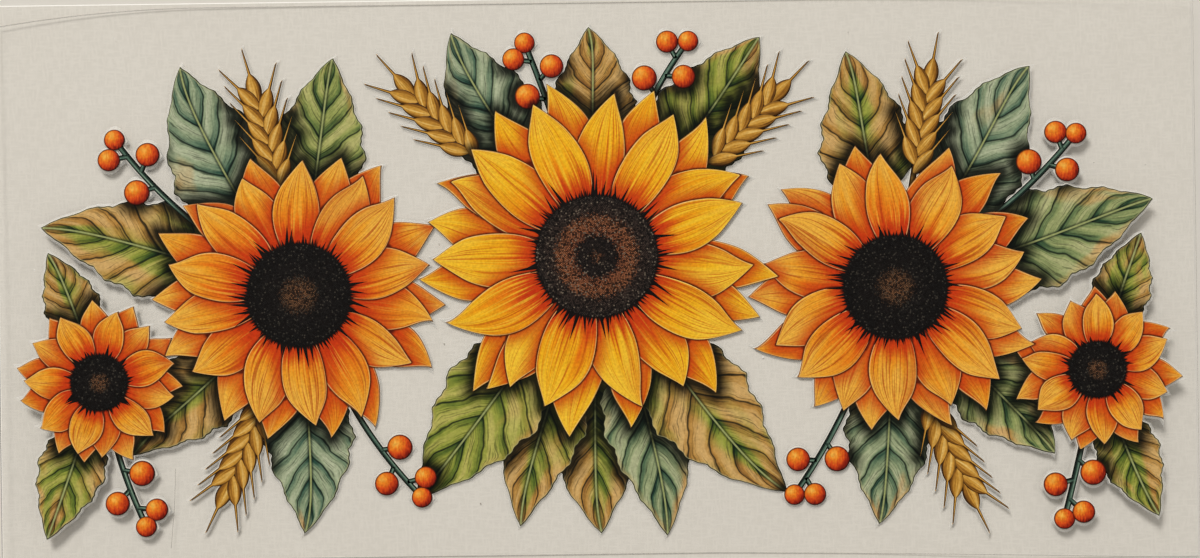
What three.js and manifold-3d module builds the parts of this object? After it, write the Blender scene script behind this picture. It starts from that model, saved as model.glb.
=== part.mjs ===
// A printed decal transfer sheet: a clear film with a garland of blooms in raised ink, which lies on
// its release liner. Millimetres, +Z up, +X along the sheet. The origin is under the middle of the
// liner, on the surface that the sheet lies on.

import * as THREE from "three";
import { mergeVertices } from "three/addons/utils/BufferGeometryUtils.js";
import Module from "manifold-3d";

const wasm = await Module();
wasm.setup();

// ---- The two sheets ----
const LINER = { length: 241.2, width: 114.3, thickness: 0.2 };
const FILM = { length: 239.6, top: 56.25, bottom: -55.15, thickness: 0.2 };
const CORNER_DIP = { depth: 3.4, run: 42 }; // the top edge bows down to the left corner
const EDGE_DROP = { depth: 1.8, run: 95 }; // the bottom edge falls away to the right
const ADHESIVE = 0.05; // the clear gap that stands for the tack layer under film and ink

// The ends of the film curl up off the liner, as a parabola drawn in flat facets.
const CURL_RIGHT = { start: 45, lift: 3.5 };
const CURL_LEFT = { start: -40, lift: 2.9 };
const CURL_FACETS = 5;

// ---- The layers of ink ----
const WHITE_INK = 0.1;
const WHITE_RIM = 0.3; // the white base shows this far round the colours
const KNOCK_OUT = 0.1; // the unprinted line between two patches of colour
const INK = { ear: 0.18, leaf: 0.2, berry: 0.24, backPetal: 0.26, frontPetal: 0.34, disc: 0.42 };
const FULL = 1; // a patch drawn this thick stands through every layer of ink

// Points that stand out less than this from an outline are dropped.
const SMOOTH = { colour: 0.05, white: 0.25, strip: 0.001 };

// ---- The motifs. Angles are in degrees, anticlockwise from +X ----
const HEADS = [
  { name: "centre", x: 0, y: 5, reach: 37, disc: 12.3, petals: 15, seed: 1, finish: "golden" },
  { name: "right", x: 60, y: -2, reach: 31, disc: 10.4, petals: 14, seed: 2, finish: "orange" },
  { name: "left", x: -60, y: -2, reach: 31, disc: 10.4, petals: 14, seed: 3, finish: "orange" },
  { name: "far_right", x: 100, y: -19, reach: 17, disc: 5.6, petals: 11, seed: 4, finish: "orange" },
  { name: "far_left", x: -100, y: -19, reach: 17, disc: 5.6, petals: 11, seed: 5, finish: "orange" },
];

// What fans out from behind the heads on the right half, with the topmost first. The left half
// mirrors it, and each copy is turned, stretched and bent a little, by chance.
const FANS = [
  { kind: "sprig", head: 0, angle: 72, reach: 50, sway: -0.1 },
  { kind: "sprig", head: 1, angle: 37, reach: 52, sway: 0.12 },
  { kind: "sprig", head: 1, angle: -112, reach: 50, sway: -0.1 },
  { kind: "sprig", head: 3, angle: -104, reach: 34, sway: -0.1 },
  { kind: "ear", head: 0, angle: 38, reach: 61, sway: 0.1 },
  { kind: "ear", head: 1, angle: 79, reach: 53, sway: -0.06 },
  { kind: "ear", head: 1, angle: -72, reach: 53, sway: 0.06 },
  { kind: "leaf", head: 0, angle: 52, reach: 56, breadth: 0.62 },
  { kind: "leaf", head: 0, angle: -56, reach: 61, breadth: 0.54 },
  { kind: "leaf", head: 0, angle: -73, reach: 58, breadth: 0.5 },
  { kind: "leaf", head: 1, angle: 100, reach: 50, breadth: 0.62 },
  { kind: "leaf", head: 1, angle: 57, reach: 52, breadth: 0.62 },
  { kind: "leaf", head: 1, angle: 17, reach: 55, breadth: 0.55 },
  { kind: "leaf", head: 1, angle: -46, reach: 47, breadth: 0.62 },
  { kind: "leaf", head: 1, angle: -95, reach: 49, breadth: 0.6 },
  { kind: "leaf", head: 3, angle: 72, reach: 29, breadth: 0.62 },
  { kind: "leaf", head: 3, angle: -70, reach: 33, breadth: 0.58 },
];
const MIDDLE_FANS = [
  { kind: "leaf", head: 0, angle: -90, reach: 57, breadth: 0.6 },
  { kind: "leaf", head: 0, angle: 90, reach: 47, breadth: 0.7 },
];
const CHANCE = { turn: 5, stretch: 0.05, sway: 0.16 }; // degrees, share of reach, share of length
const ROOT_DEPTH = 0.6; // a motif starts this far out along its head's reach, under the petals

const PETAL = {
  root: 0.8, // share of the disc's radius where a petal starts
  back: 0.93, // share of the head's reach
  front: 0.84,
  uneven: 0.07, // how much longer the longest is
  breadth: 0.62, // half width, as a share of the space between two petals
  broader: 0.12,
  jitter: 0.5, // share of the space between two petals
  sway: 0.3,
  stations: [0, 0.3, 0.6, 0.86],
};
const PETAL_CORE = 0.62; // the petals meet in a round patch of this share of the head's reach
const DISC = { sides: 24, low: 0.85, ringOut: 0.66, ringIn: 0.36 };
const LEAF = { teeth: 5, notch: 0.25, crest: 0.85, cut: 0.93, swell: 1.06, neck: [0.02, 0.6] };
const EAR = { pairs: 5, grain: 5.8, halfWidth: 1.45, foot: 0.3, splay: 30, awn: 5.5, stem: 1.0 };
const EAR_STEP = { along: 0.62, first: 0.35 }; // in grain lengths, and in steps
const SPRIG = { berries: 4, radius: 2.6, tip: 0.8, growth: 0.06, sides: 9, stem: 1.0, stalk: 0.8 };
const BERRY_STEP = { along: 1.55, out: 1.45, turn: 62 }; // in berry radii and degrees
const STEM_STATIONS = [0, 0.34, 0.67, 1];

// ---- Finishes ----
const FINISH = {
  liner: { color: 0xd8d2c6, roughness: 0.85, metalness: 0 },
  film: { color: 0xd5cdc1, roughness: 0.12, metalness: 0, transparent: true, opacity: 0.35 },
  white: { color: 0xefeae0, roughness: 0.6, metalness: 0 },
  golden: { color: 0xefa321, roughness: 0.4, metalness: 0 },
  orange: { color: 0xe4731c, roughness: 0.4, metalness: 0 },
  dark: { color: 0x2a2422, roughness: 0.55, metalness: 0 },
  leaf: { color: 0x66703a, roughness: 0.45, metalness: 0 },
  ear: { color: 0xc79a4b, roughness: 0.45, metalness: 0 },
  sprig: { color: 0xc8481f, roughness: 0.4, metalness: 0 },
};

/** A repeatable number from 0 to 1 for a pair of numbers. */
function noise(a, b) {
  const wave = Math.sin(a * 12.9898 + b * 78.233) * 43758.5453;
  return wave - Math.floor(wave);
}

const degrees = (angle) => (angle * Math.PI) / 180;

/** The point at a distance from another one, in the direction of an angle. */
function polar(centre, angle, distance) {
  return new THREE.Vector2(centre.x + distance * Math.cos(angle), centre.y + distance * Math.sin(angle));
}

// ---- The curl of the film ----

const filmEnd = (curl) => (Math.sign(curl.start) * FILM.length) / 2;

/** The height of the curl at x, before it is drawn in facets. */
function curlHeight(x) {
  const curl = x > 0 ? CURL_RIGHT : CURL_LEFT;
  const along = (x - curl.start) / (filmEnd(curl) - curl.start);
  return along > 0 ? curl.lift * along * along : 0;
}

/** The x of every fold line between two facets of the film, from left to right. */
const FOLDS = [CURL_LEFT, CURL_RIGHT]
  .flatMap((curl) =>
    Array.from({ length: CURL_FACETS + 1 }, (_, i) =>
      THREE.MathUtils.lerp(curl.start, filmEnd(curl), i / CURL_FACETS)
    )
  )
  .sort((a, b) => a - b);

/** The height of the faceted film at x, straight between its fold lines. */
function lift(x) {
  const next = FOLDS.findIndex((fold, i) => i > 0 && fold >= x);
  const i = next < 0 ? FOLDS.length - 1 : next;
  const share = (x - FOLDS[i - 1]) / (FOLDS[i] - FOLDS[i - 1]);
  return THREE.MathUtils.lerp(curlHeight(FOLDS[i - 1]), curlHeight(FOLDS[i]), share);
}

// ---- Solids ----

/** A closed geometry as a solid that can be joined and cut. */
function solidOf(geometry) {
  const bare = geometry.clone();
  bare.deleteAttribute("normal");
  bare.deleteAttribute("uv");
  const merged = mergeVertices(bare, 1e-4);
  const mesh = new wasm.Mesh({
    numProp: 3,
    vertProperties: new Float32Array(merged.attributes.position.array),
    triVerts: new Uint32Array(merged.index.array),
  });
  return new wasm.Manifold(mesh);
}

/** A solid as a geometry. */
function geometryOf(solid) {
  const { vertProperties, triVerts } = solid.getMesh();
  const geometry = new THREE.BufferGeometry();
  geometry.setAttribute("position", new THREE.Float32BufferAttribute(vertProperties, 3));
  return geometry.setIndex(Array.from(triVerts));
}

/** A solid without the points that stand out less than the given height. */
const smoothed = (solid, height) => solid.asOriginal().simplify(height);

/** Several solids as one. */
const joined = (solids, height = SMOOTH.colour) => smoothed(wasm.Manifold.union(solids), height);

/** The largest body of a solid that a cut may have left in several. */
function largest(solid) {
  return solid.decompose().reduce((a, b) => (b.volume() > a.volume() ? b : a));
}

/** A flat patch with the given outline. */
function patch(outline, bottom, thickness) {
  const shape = new THREE.Shape(outline);
  const geometry = new THREE.ExtrudeGeometry(shape, { depth: thickness, bevelEnabled: false });
  return solidOf(geometry.translate(0, 0, bottom));
}

/** A flat solid as a geometry that follows the curl of the film, in strips from fold to fold. */
function bentOverFilm(solid) {
  const strips = [];
  for (let i = 1; i < FOLDS.length; i += 1) {
    const right = solid.trimByPlane([1, 0, 0], FOLDS[i - 1]);
    const strip = smoothed(right.trimByPlane([-1, 0, 0], -FOLDS[i]), SMOOTH.strip);
    if (strip.isEmpty()) continue;
    const geometry = geometryOf(strip);
    const { position } = geometry.attributes;
    for (let k = 0; k < position.count; k += 1) {
      position.setZ(k, position.getZ(k) + lift(position.getX(k)));
    }
    strips.push(solidOf(geometry));
  }
  return geometryOf(wasm.Manifold.union(strips));
}

// ---- Outlines ----

/** The point a share of the way along a run's bent middle line, and the line's direction there. */
function onRun(run, share) {
  const point = polar(run.root, run.angle, share * run.length);
  const drift = run.sway * run.length * share * share;
  return {
    point: polar(point, run.angle + Math.PI / 2, drift),
    angle: run.angle + Math.atan(2 * run.sway * share),
  };
}

/**
 * The outline of a blade on both sides of a run's middle line.
 *
 * Each station is [share of the way along, half width]. The blade ends in a point unless it is
 * blunt, and spread widens it all round.
 */
function blade(run, stations, spread, blunt = false) {
  const pointSpread = 1.6 * spread; // a sharp point needs more than its sides
  const at = (share, out) => polar(onRun(run, share).point, run.angle + Math.PI / 2, out);
  const side = (sign) =>
    stations.map(([share, half], i) =>
      at(i === 0 ? share - spread / run.length : share, sign * (half + spread))
    );
  const point = blunt ? [] : [at(1 + pointSpread / run.length, 0)];
  return [...side(-1), ...point, ...side(1).reverse()];
}

/** How wide a petal is along its length, 1 at its widest. */
const petalWidth = (share) => (1 - share) ** 0.9 * (0.51 + 2.7 * share);

/** How wide a leaf is along its length, 1 at its widest. */
const leafWidth = (share) => Math.sin(Math.PI * share ** 0.62) ** 0.85;

// ---- Motifs. A coat says where a patch starts, how far it spreads, and its level if not its own ----

/** A round patch. */
function round(centre, radius, sides, bottom, thickness) {
  const circle = new THREE.EllipseCurve(centre.x, centre.y, radius, radius);
  return patch(circle.getPoints(sides).slice(1), bottom, thickness);
}

/** A stem or stalk of even width. */
function stem(run, width, coat, thickness) {
  const stations = STEM_STATIONS.map((share) => [share, width / 2]);
  return patch(blade(run, stations, coat.spread, true), coat.bottom, thickness);
}

/** One petal's outline. Ring 0 lies behind, ring 1 in front. */
function petalOutline(head, ring, index, spread) {
  const spacing = (2 * Math.PI) / head.petals;
  const chance = (draw) => noise(head.seed * 100 + ring * 50 + draw, index);
  const angle = spacing * (index + 0.5 * ring + (chance(0) - 0.5) * PETAL.jitter);
  const start = head.disc * PETAL.root;
  const reach = head.reach * (ring ? PETAL.front : PETAL.back) * (1 + PETAL.uneven * chance(1));
  const half = head.reach * Math.sin(spacing / 2) * (PETAL.breadth + PETAL.broader * chance(2));
  const run = {
    root: polar(head, angle, start),
    angle,
    length: reach - start,
    sway: (chance(3) - 0.5) * PETAL.sway,
  };
  return blade(run, PETAL.stations.map((share) => [share, half * petalWidth(share)]), spread);
}

/** Both rings of petals of a head, and the round patch that they meet in. */
function drawPetals(head, coat) {
  const rings = [coat.level ?? INK.backPetal, coat.level ?? INK.frontPetal];
  const core = round(head, head.reach * PETAL_CORE, DISC.sides, coat.bottom, rings[0]);
  const blades = rings.flatMap((thickness, ring) =>
    Array.from({ length: head.petals }, (_, index) =>
      patch(petalOutline(head, ring, index, coat.spread), coat.bottom, thickness)
    )
  );
  return joined([core, ...blades]);
}

/** The round disc of a head, with a raised ring. */
function drawDisc(head, coat) {
  const r = head.disc + coat.spread;
  const high = coat.level ?? INK.disc;
  const low = coat.level ?? INK.disc * DISC.low;
  const profile = [[0, 0], [r, 0], [r, low], [r * DISC.ringOut, high], [r * DISC.ringIn, high], [0, low]];
  const points = profile.map(([x, y]) => new THREE.Vector2(x, y));
  const geometry = new THREE.LatheGeometry(points, DISC.sides).rotateX(Math.PI / 2);
  return solidOf(geometry.translate(head.x, head.y, coat.bottom));
}

/** Where a fanned motif starts, runs and ends. Mirror is 1 on the right half and -1 on the left. */
function course(fan, mirror) {
  const head = HEADS[fan.head];
  const chance = (draw) => noise(fan.angle + draw, fan.reach * mirror) - 0.5;
  const angle = degrees(fan.angle + CHANCE.turn * chance(1));
  const start = head.reach * ROOT_DEPTH;
  const root = polar(head, angle, start);
  return {
    root: new THREE.Vector2(mirror * root.x, root.y),
    angle: mirror > 0 ? angle : Math.PI - angle,
    length: fan.reach * (1 - CHANCE.stretch * (0.5 + chance(2))) - start,
    sway: mirror * ((fan.sway ?? 0) + CHANCE.sway * chance(3)),
  };
}

/** A leaf with teeth that point to its tip. */
function drawLeaf(fan, run, coat) {
  const half = (run.length * fan.breadth) / 2;
  const stations = [LEAF.neck];
  for (let tooth = 0; tooth < LEAF.teeth; tooth += 1) {
    const notch = (tooth + LEAF.notch) / LEAF.teeth;
    const crest = (tooth + LEAF.crest) / LEAF.teeth;
    stations.push([notch, half * leafWidth(notch) * LEAF.cut]);
    stations.push([crest, half * leafWidth(crest) * LEAF.swell]);
  }
  return patch(blade(run, stations, coat.spread), coat.bottom, coat.level ?? INK.leaf);
}

/** A wheat ear: grains with awns in two rows up its stem, and one at the tip. */
function drawEar(fan, run, coat) {
  const thickness = coat.level ?? INK.ear;
  const length = EAR.grain + EAR.awn;
  const neck = EAR.grain / length;
  const stations = [[0, EAR.foot], [neck / 2, EAR.halfWidth], [neck, EAR.foot]];
  const grain = (share, splay) => {
    const { point, angle } = onRun(run, share);
    const grainRun = { root: point, angle: angle + degrees(splay), length, sway: 0 };
    return patch(blade(grainRun, stations, coat.spread), coat.bottom, thickness);
  };
  const last = 1 - length / run.length;
  const step = (EAR.grain * EAR_STEP.along) / run.length;
  const grains = [grain(last, 0)];
  for (let i = 0; i < EAR.pairs; i += 1) {
    const share = last - step * (i + EAR_STEP.first);
    grains.push(grain(share, EAR.splay), grain(share - step / 2, -EAR.splay));
  }
  // The stem ends a stem's width under the grain at the tip.
  const stalk = { ...run, length: run.length * last + EAR.stem, sway: run.sway * last };
  return joined([stem(stalk, EAR.stem, coat, thickness), ...grains]);
}

/** A sprig of round berries on short stalks, on both sides of a stem. */
function drawSprig(fan, run, coat) {
  const thickness = coat.level ?? INK.berry;
  const end = { ...run, length: run.length - SPRIG.radius };
  const parts = [stem(end, SPRIG.stem, coat, thickness)];
  for (let i = 0; i < SPRIG.berries; i += 1) {
    const { point, angle } = onRun(end, 1 - (i * SPRIG.radius * BERRY_STEP.along) / end.length);
    const heading = i === 0 ? angle : angle + degrees(i % 2 ? BERRY_STEP.turn : -BERRY_STEP.turn);
    const out = i === 0 ? 0 : SPRIG.radius * BERRY_STEP.out;
    const radius = SPRIG.radius * (SPRIG.tip + SPRIG.growth * i) + coat.spread;
    parts.push(round(polar(point, heading, out), radius, SPRIG.sides, coat.bottom, thickness));
    if (i > 0) {
      const stalk = { root: point, angle: heading, length: out, sway: 0 };
      parts.push(stem(stalk, SPRIG.stalk, coat, thickness));
    }
  }
  return joined(parts);
}

const DRAW = { leaf: drawLeaf, ear: drawEar, sprig: drawSprig };

/** Every motif of the print, from the topmost to the lowest. */
function motifs() {
  const heads = HEADS.flatMap((head) => [
    { name: `disc_${head.name}`, finish: "dark", draw: (coat) => drawDisc(head, coat) },
    { name: `petals_${head.name}`, finish: head.finish, draw: (coat) => drawPetals(head, coat) },
  ]);
  const count = {};
  const fanned = (fan, side, mirror) => {
    const kind = `${fan.kind}_${side}`;
    count[kind] = (count[kind] ?? 0) + 1;
    const run = course(fan, mirror);
    const draw = (coat) => DRAW[fan.kind](fan, run, coat);
    return { name: `${kind}_${count[kind]}`, finish: fan.kind, draw };
  };
  const sides = FANS.flatMap((fan) => [fanned(fan, "right", 1), fanned(fan, "left", -1)]);
  return [...heads, ...sides, ...MIDDLE_FANS.map((fan) => fanned(fan, "middle", 1))];
}

// ---- The sheets ----

/** The long edges of the film at x: the near one, then the far one. */
function filmEdges(x) {
  const half = FILM.length / 2;
  const dropped = Math.max(0, (x - (half - EDGE_DROP.run)) / EDGE_DROP.run);
  const dipped = Math.max(0, (CORNER_DIP.run - half - x) / CORNER_DIP.run);
  return [FILM.bottom - EDGE_DROP.depth * dropped, FILM.top - CORNER_DIP.depth * dipped ** 2];
}

/** The film, as a box in strips from fold to fold, with its long edges and its curl put in. */
function filmGeometry(bottom) {
  const strips = FOLDS.length - 1;
  const geometry = new THREE.BoxGeometry(strips, 1, FILM.thickness, strips, 1, 1);
  const { position } = geometry.attributes;
  for (let i = 0; i < position.count; i += 1) {
    const x = FOLDS[Math.round(position.getX(i) + strips / 2)];
    const y = filmEdges(x)[position.getY(i) > 0 ? 1 : 0];
    position.setXYZ(i, x, y, position.getZ(i) + bottom + FILM.thickness / 2 + lift(x));
  }
  return geometry;
}

/** A named mesh with its finish. */
function piece(name, geometry, finish) {
  const mesh = new THREE.Mesh(geometry, new THREE.MeshStandardMaterial(FINISH[finish]));
  mesh.name = name;
  return mesh;
}

// ---- The layers, from the surface up ----

const filmBottom = LINER.thickness + ADHESIVE;
const whiteBottom = filmBottom + FILM.thickness + ADHESIVE;
const inkBottom = whiteBottom + WHITE_INK + ADHESIVE;

const colour = { bottom: inkBottom, spread: 0, level: null };
const underlay = { bottom: 0, spread: WHITE_RIM, level: FULL };
const clearance = { bottom: inkBottom - ADHESIVE / 2, spread: KNOCK_OUT, level: FULL };

const sheet = new THREE.Group();
const print = motifs();

const liner = new THREE.BoxGeometry(LINER.length, LINER.width, LINER.thickness);
sheet.add(piece("release_liner", liner.translate(0, 0, LINER.thickness / 2), "liner"));
sheet.add(piece("clear_film", filmGeometry(filmBottom), "film"));

// The white base is smoothed at full height, because a thin sheet would lose its faces, and then
// flattened to its real thickness.
const silhouette = joined(print.map((motif) => motif.draw(underlay)), SMOOTH.white);
const white = silhouette.scale([1, 1, WHITE_INK / FULL]).translate([0, 0, whiteBottom]);
sheet.add(piece("white_ink_base", bentOverFilm(white), "white"));

// Each patch of colour is cut back round the patches that lie over it.
let above = null;
for (const motif of print) {
  const whole = motif.draw(colour);
  const cut = above ? largest(smoothed(whole.subtract(above), SMOOTH.colour)) : whole;
  sheet.add(piece(motif.name, bentOverFilm(cut), motif.finish));
  const cleared = motif.draw(clearance);
  above = above ? joined([above, cleared]) : cleared;
}

export default sheet;
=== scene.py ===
"""Looks of a printed decal transfer sheet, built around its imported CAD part.

A clear film, printed with a garland in raised ink, lies on its release liner and curls up at both
ends. Sizes are in millimetres until a mesh is made. The frame is the part's own: +X along the
sheet, +Y towards its top edge, +Z out of the printed face, and z is 0 where the liner lies.
"""

import logging
import math
from collections import Counter
from collections.abc import Callable, Iterable
from dataclasses import dataclass, field, fields, replace
from enum import Enum
from functools import cache

import bmesh
import bpy
import numpy as np
from bpy.types import ID, Material, Mesh, Modifier, Node, NodeSocket, NodeTree, Object
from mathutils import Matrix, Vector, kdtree


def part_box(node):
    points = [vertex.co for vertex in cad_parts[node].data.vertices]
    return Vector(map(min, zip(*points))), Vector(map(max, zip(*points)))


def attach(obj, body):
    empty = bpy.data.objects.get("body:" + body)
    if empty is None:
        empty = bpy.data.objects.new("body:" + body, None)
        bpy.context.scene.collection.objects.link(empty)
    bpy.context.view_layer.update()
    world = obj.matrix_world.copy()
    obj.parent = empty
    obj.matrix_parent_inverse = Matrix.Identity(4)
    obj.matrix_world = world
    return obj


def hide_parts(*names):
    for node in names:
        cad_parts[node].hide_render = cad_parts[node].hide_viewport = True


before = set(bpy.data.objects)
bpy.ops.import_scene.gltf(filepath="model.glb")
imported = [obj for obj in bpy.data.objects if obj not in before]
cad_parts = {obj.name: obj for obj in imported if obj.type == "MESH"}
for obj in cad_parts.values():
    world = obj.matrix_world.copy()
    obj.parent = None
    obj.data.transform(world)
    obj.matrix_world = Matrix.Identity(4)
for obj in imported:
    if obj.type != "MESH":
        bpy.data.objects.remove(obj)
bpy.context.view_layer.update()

log = logging.getLogger("decal_sheet")

MM = 0.001

# ---- Heights over the liner's underside, before the film curls ----
FILM_BOTTOM = 0.25
FILM_TOP = 0.45
WHITE_BOTTOM = 0.455
WHITE_TOP = 0.6
VARNISH_TOP = 0.57  # the clear varnish reaches out beyond the white, a little lower
INK_BOTTOM = 0.605
LEVEL_STEP = 0.003  # each motif stands this much higher than the one that it lies over

# ---- The film ----
FILM_LENGTH = 239.6
FILM_EDGES = (-55.15, 56.25)  # the near and the far long edge, in y

Array = np.ndarray
Values = dict[str, Array]
Faces = list[tuple[int, ...]]
Stops = tuple[tuple[float, str], ...]  # the places and the colours of a ramp
Sides = Callable[[Array], Array]  # from shares along a run to its half widths, right and left
Drawn = tuple[NodeSocket, NodeSocket | None]  # an ink's colour, and its relief where it has one


def chance(a: float, b: float) -> float:
    """Gives a repeatable number from 0 to 1 for a pair of numbers, as the CAD source does."""
    wave = math.sin(a * 12.9898 + b * 78.233) * 43758.5453
    return wave - math.floor(wave)


# ---- The curl of the film ----


@dataclass(frozen=True)
class Curl:
    """One end of the film, which rises off the liner as a parabola."""

    start: float  # the x where the film leaves the liner
    end: float  # the x of the film's end
    lift: float
    far_share: float = 1.0  # how much of the lift is left at the far long edge
    far_ease: tuple[float, float] = (-5.0, 52.0)  # the stretch of y over which the lift changes

    def height(self, x: Array, y: Array) -> Array:
        """Works out how high this end lifts the film.

        Args:
            x: The points' x.
            y: Their y.

        Returns:
            The height of each.
        """
        low, high = self.far_ease
        across = np.clip((y - low) / (high - low), 0, 1)
        kept = 1 - (1 - self.far_share) * across**2 * (3 - 2 * across)
        return kept * self.lift * np.clip((x - self.start) / (self.end - self.start), 0, None) ** 2


CURLS = (Curl(45.0, FILM_LENGTH / 2, 3.5), Curl(-40.0, -FILM_LENGTH / 2, 2.9, far_share=0.3))


def film_lift(points: Array) -> Array:
    """Returns how high both curls lift the film at points given as rows of x, y."""
    return sum(curl.height(points[:, 0], points[:, 1]) for curl in CURLS)


# ---- Colour and nodes ----

MATH = "ShaderNodeMath"
VECTOR = "ShaderNodeVectorMath"
COMBINE = "ShaderNodeCombineXYZ"
NOISE = "ShaderNodeTexNoise"
RANGE = "ShaderNodeMapRange"
MIX = "ShaderNodeMix"
RAMP = "ShaderNodeValToRGB"
BUMP = "ShaderNodeBump"
ATTRIBUTE = "ShaderNodeAttribute"
OBJECT_PLACE = "ShaderNodeTexCoord"
NAMED_VALUE = "GeometryNodeInputNamedAttribute"
INSTANCES = "GeometryNodeInstanceOnPoints"
MIX_RESULT = 2  # the colour sockets of a Mix node
MIX_A, MIX_B = 6, 7


def paint(code: str) -> tuple[float, float, float, float]:
    """Turns an sRGB hex colour to linear.

    Args:
        code: Six hex digits after a #.

    Returns:
        Linear red, green, blue and an alpha of 1.
    """
    channels = [int(code[i : i + 2], 16) / 255 for i in (1, 3, 5)]
    linear = [c / 12.92 if c <= 0.04045 else ((c + 0.055) / 1.055) ** 2.4 for c in channels]
    return (*linear, 1.0)


def connect(node: Node, inputs: dict) -> None:
    """Sets a node's inputs, or links them.

    Args:
        node: The node.
        inputs: A value or another node's output socket for each input, by name or number.
    """
    for key, value in inputs.items():
        if isinstance(value, NodeSocket):
            node.id_data.links.new(value, node.inputs[key])
        else:
            node.inputs[key].default_value = value


def add(
    tree: NodeTree, kind: str, inputs: dict, output: int | str = 0, **settings: object
) -> NodeSocket | Node:
    """Adds a node with its settings and links.

    Args:
        tree: The shader or geometry tree.
        kind: The node's type.
        inputs: A value or another node's output socket for each input, by name or number.
        output: The output that is wanted, by name or number.
        **settings: The node's own properties, and stops for a colour ramp.

    Returns:
        The wanted output socket, or the node if it has none.
    """
    node = tree.nodes.new(kind)
    stops = settings.pop("stops", ())
    for name, value in settings.items():
        setattr(node, name, value)
    while stops and len(node.color_ramp.elements) < len(stops):
        node.color_ramp.elements.new(1.0)
    for index, (place, code) in enumerate(stops):
        element = node.color_ramp.elements[index]
        element.position = place
        element.color = paint(code)
    connect(node, inputs)
    return node.outputs[output] if len(node.outputs) else node


@dataclass(frozen=True)
class Layer:
    """A colour laid over an ink, as strong as a value says."""

    value: NodeSocket
    full: float  # the value where the layer is strongest
    gone: float  # the value where it ends
    strength: float  # how well it covers where it is strongest
    colour: str | NodeSocket  # a hex code, or the output that gives the colour


def lay_over(tree: NodeTree, colour: NodeSocket, layers: Iterable[Layer]) -> NodeSocket:
    """Lays colours one over the other.

    Args:
        tree: The material's tree.
        colour: The ground's colour.
        layers: The layers, from the lowest.

    Returns:
        The output with the colour of them all.
    """
    for layer in layers:
        reach = {0: layer.value, 1: layer.full, 2: layer.gone, 3: layer.strength, 4: 0.0}
        cover = add(tree, RANGE, reach, interpolation_type="SMOOTHSTEP")
        over = paint(layer.colour) if isinstance(layer.colour, str) else layer.colour
        colour = add(tree, MIX, {0: cover, MIX_A: colour, MIX_B: over}, MIX_RESULT, data_type="RGBA")
    return colour


def summed(
    tree: NodeTree, start: NodeSocket | float, *terms: tuple[NodeSocket, float]
) -> NodeSocket:
    """Adds values, each times its weight, to a start value.

    Args:
        tree: The tree.
        start: The start value.
        *terms: Each value's output and its weight.

    Returns:
        The output with the sum.
    """
    for value, weight in terms:
        start = add(tree, MATH, {0: value, 1: weight, 2: start}, operation="MULTIPLY_ADD")
    return start


def streaks(
    tree: NodeTree, place: NodeSocket, stretch: tuple[float, float, float], detail: float
) -> NodeSocket:
    """Gives a cloudy pattern round 0.5, stretched one way.

    Args:
        tree: The material's tree.
        place: The output with the places.
        stretch: How many clouds there are to a unit of each direction.
        detail: How finely the clouds break up.

    Returns:
        The output with the pattern.
    """
    stretched = add(tree, VECTOR, {0: place, 1: stretch}, operation="MULTIPLY")
    return add(tree, NOISE, {"Vector": stretched, "Scale": 1.0, "Detail": detail})


# ---- Finishes ----


@dataclass(frozen=True)
class Finish:
    """A finish, which makes its material once."""

    name: str

    @cache
    def material(self) -> Material:
        """Makes the material.

        Returns:
            The material, the same one each time.
        """
        material = bpy.data.materials.new(self.name)
        material.use_nodes = True
        tree = material.node_tree
        self.dress(tree, tree.nodes["Principled BSDF"])
        return material

    def dress(self, tree: NodeTree, shader: Node) -> None:
        """Lays out the finish's own nodes, which each kind of finish says."""
        raise NotImplementedError


@dataclass(frozen=True)
class LinerPaper(Finish):
    """Coated release paper: calendered and silicone coated, so pale, even and matt.

    The felt of the paper machine leaves marks in it like a fine linen.
    """

    name: str = "coated_release_paper"
    face: str = "#E1DBCF"
    mottle: str = "#DBD4C8"
    mottle_size: float = 18.0
    thread: str = "#BDB7AA"
    thread_depth: float = 0.2
    thread_pitch: float = 0.42
    thread_length: float = 2.6
    relief: float = 0.04
    roughness: float = 0.7
    gloss: float = 0.08

    def dress(self, tree: NodeTree, shader: Node) -> None:
        """Lays out its nodes.

        Args:
            tree: The material's tree.
            shader: Its Principled node.
        """
        place = add(tree, OBJECT_PLACE, {}, "Object")
        clouds = {"Vector": place, "Scale": 1 / (self.mottle_size * MM), "Detail": 3.0}
        tints = {0: add(tree, NOISE, clouds), MIX_A: paint(self.face), MIX_B: paint(self.mottle)}
        shade = add(tree, MIX, tints, MIX_RESULT, data_type="RGBA")
        long, short = 1 / (self.thread_length * MM), 1 / (self.thread_pitch * MM)
        warp = streaks(tree, place, (long, short, 0.0), 1.0)
        weft = streaks(tree, place, (short, long, 0.0), 1.0)
        grain = add(tree, MATH, {0: warp, 1: weft}, operation="MAXIMUM")
        marked = lay_over(tree, shade, (Layer(grain, 0.44, 0.66, self.thread_depth, self.thread),))
        bump = {"Height": grain, "Strength": 0.3, "Distance": self.relief * MM}
        looks = {"Roughness": self.roughness, "Specular IOR Level": self.gloss}
        connect(shader, {"Base Color": marked, "Normal": add(tree, BUMP, bump), **looks})


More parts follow.
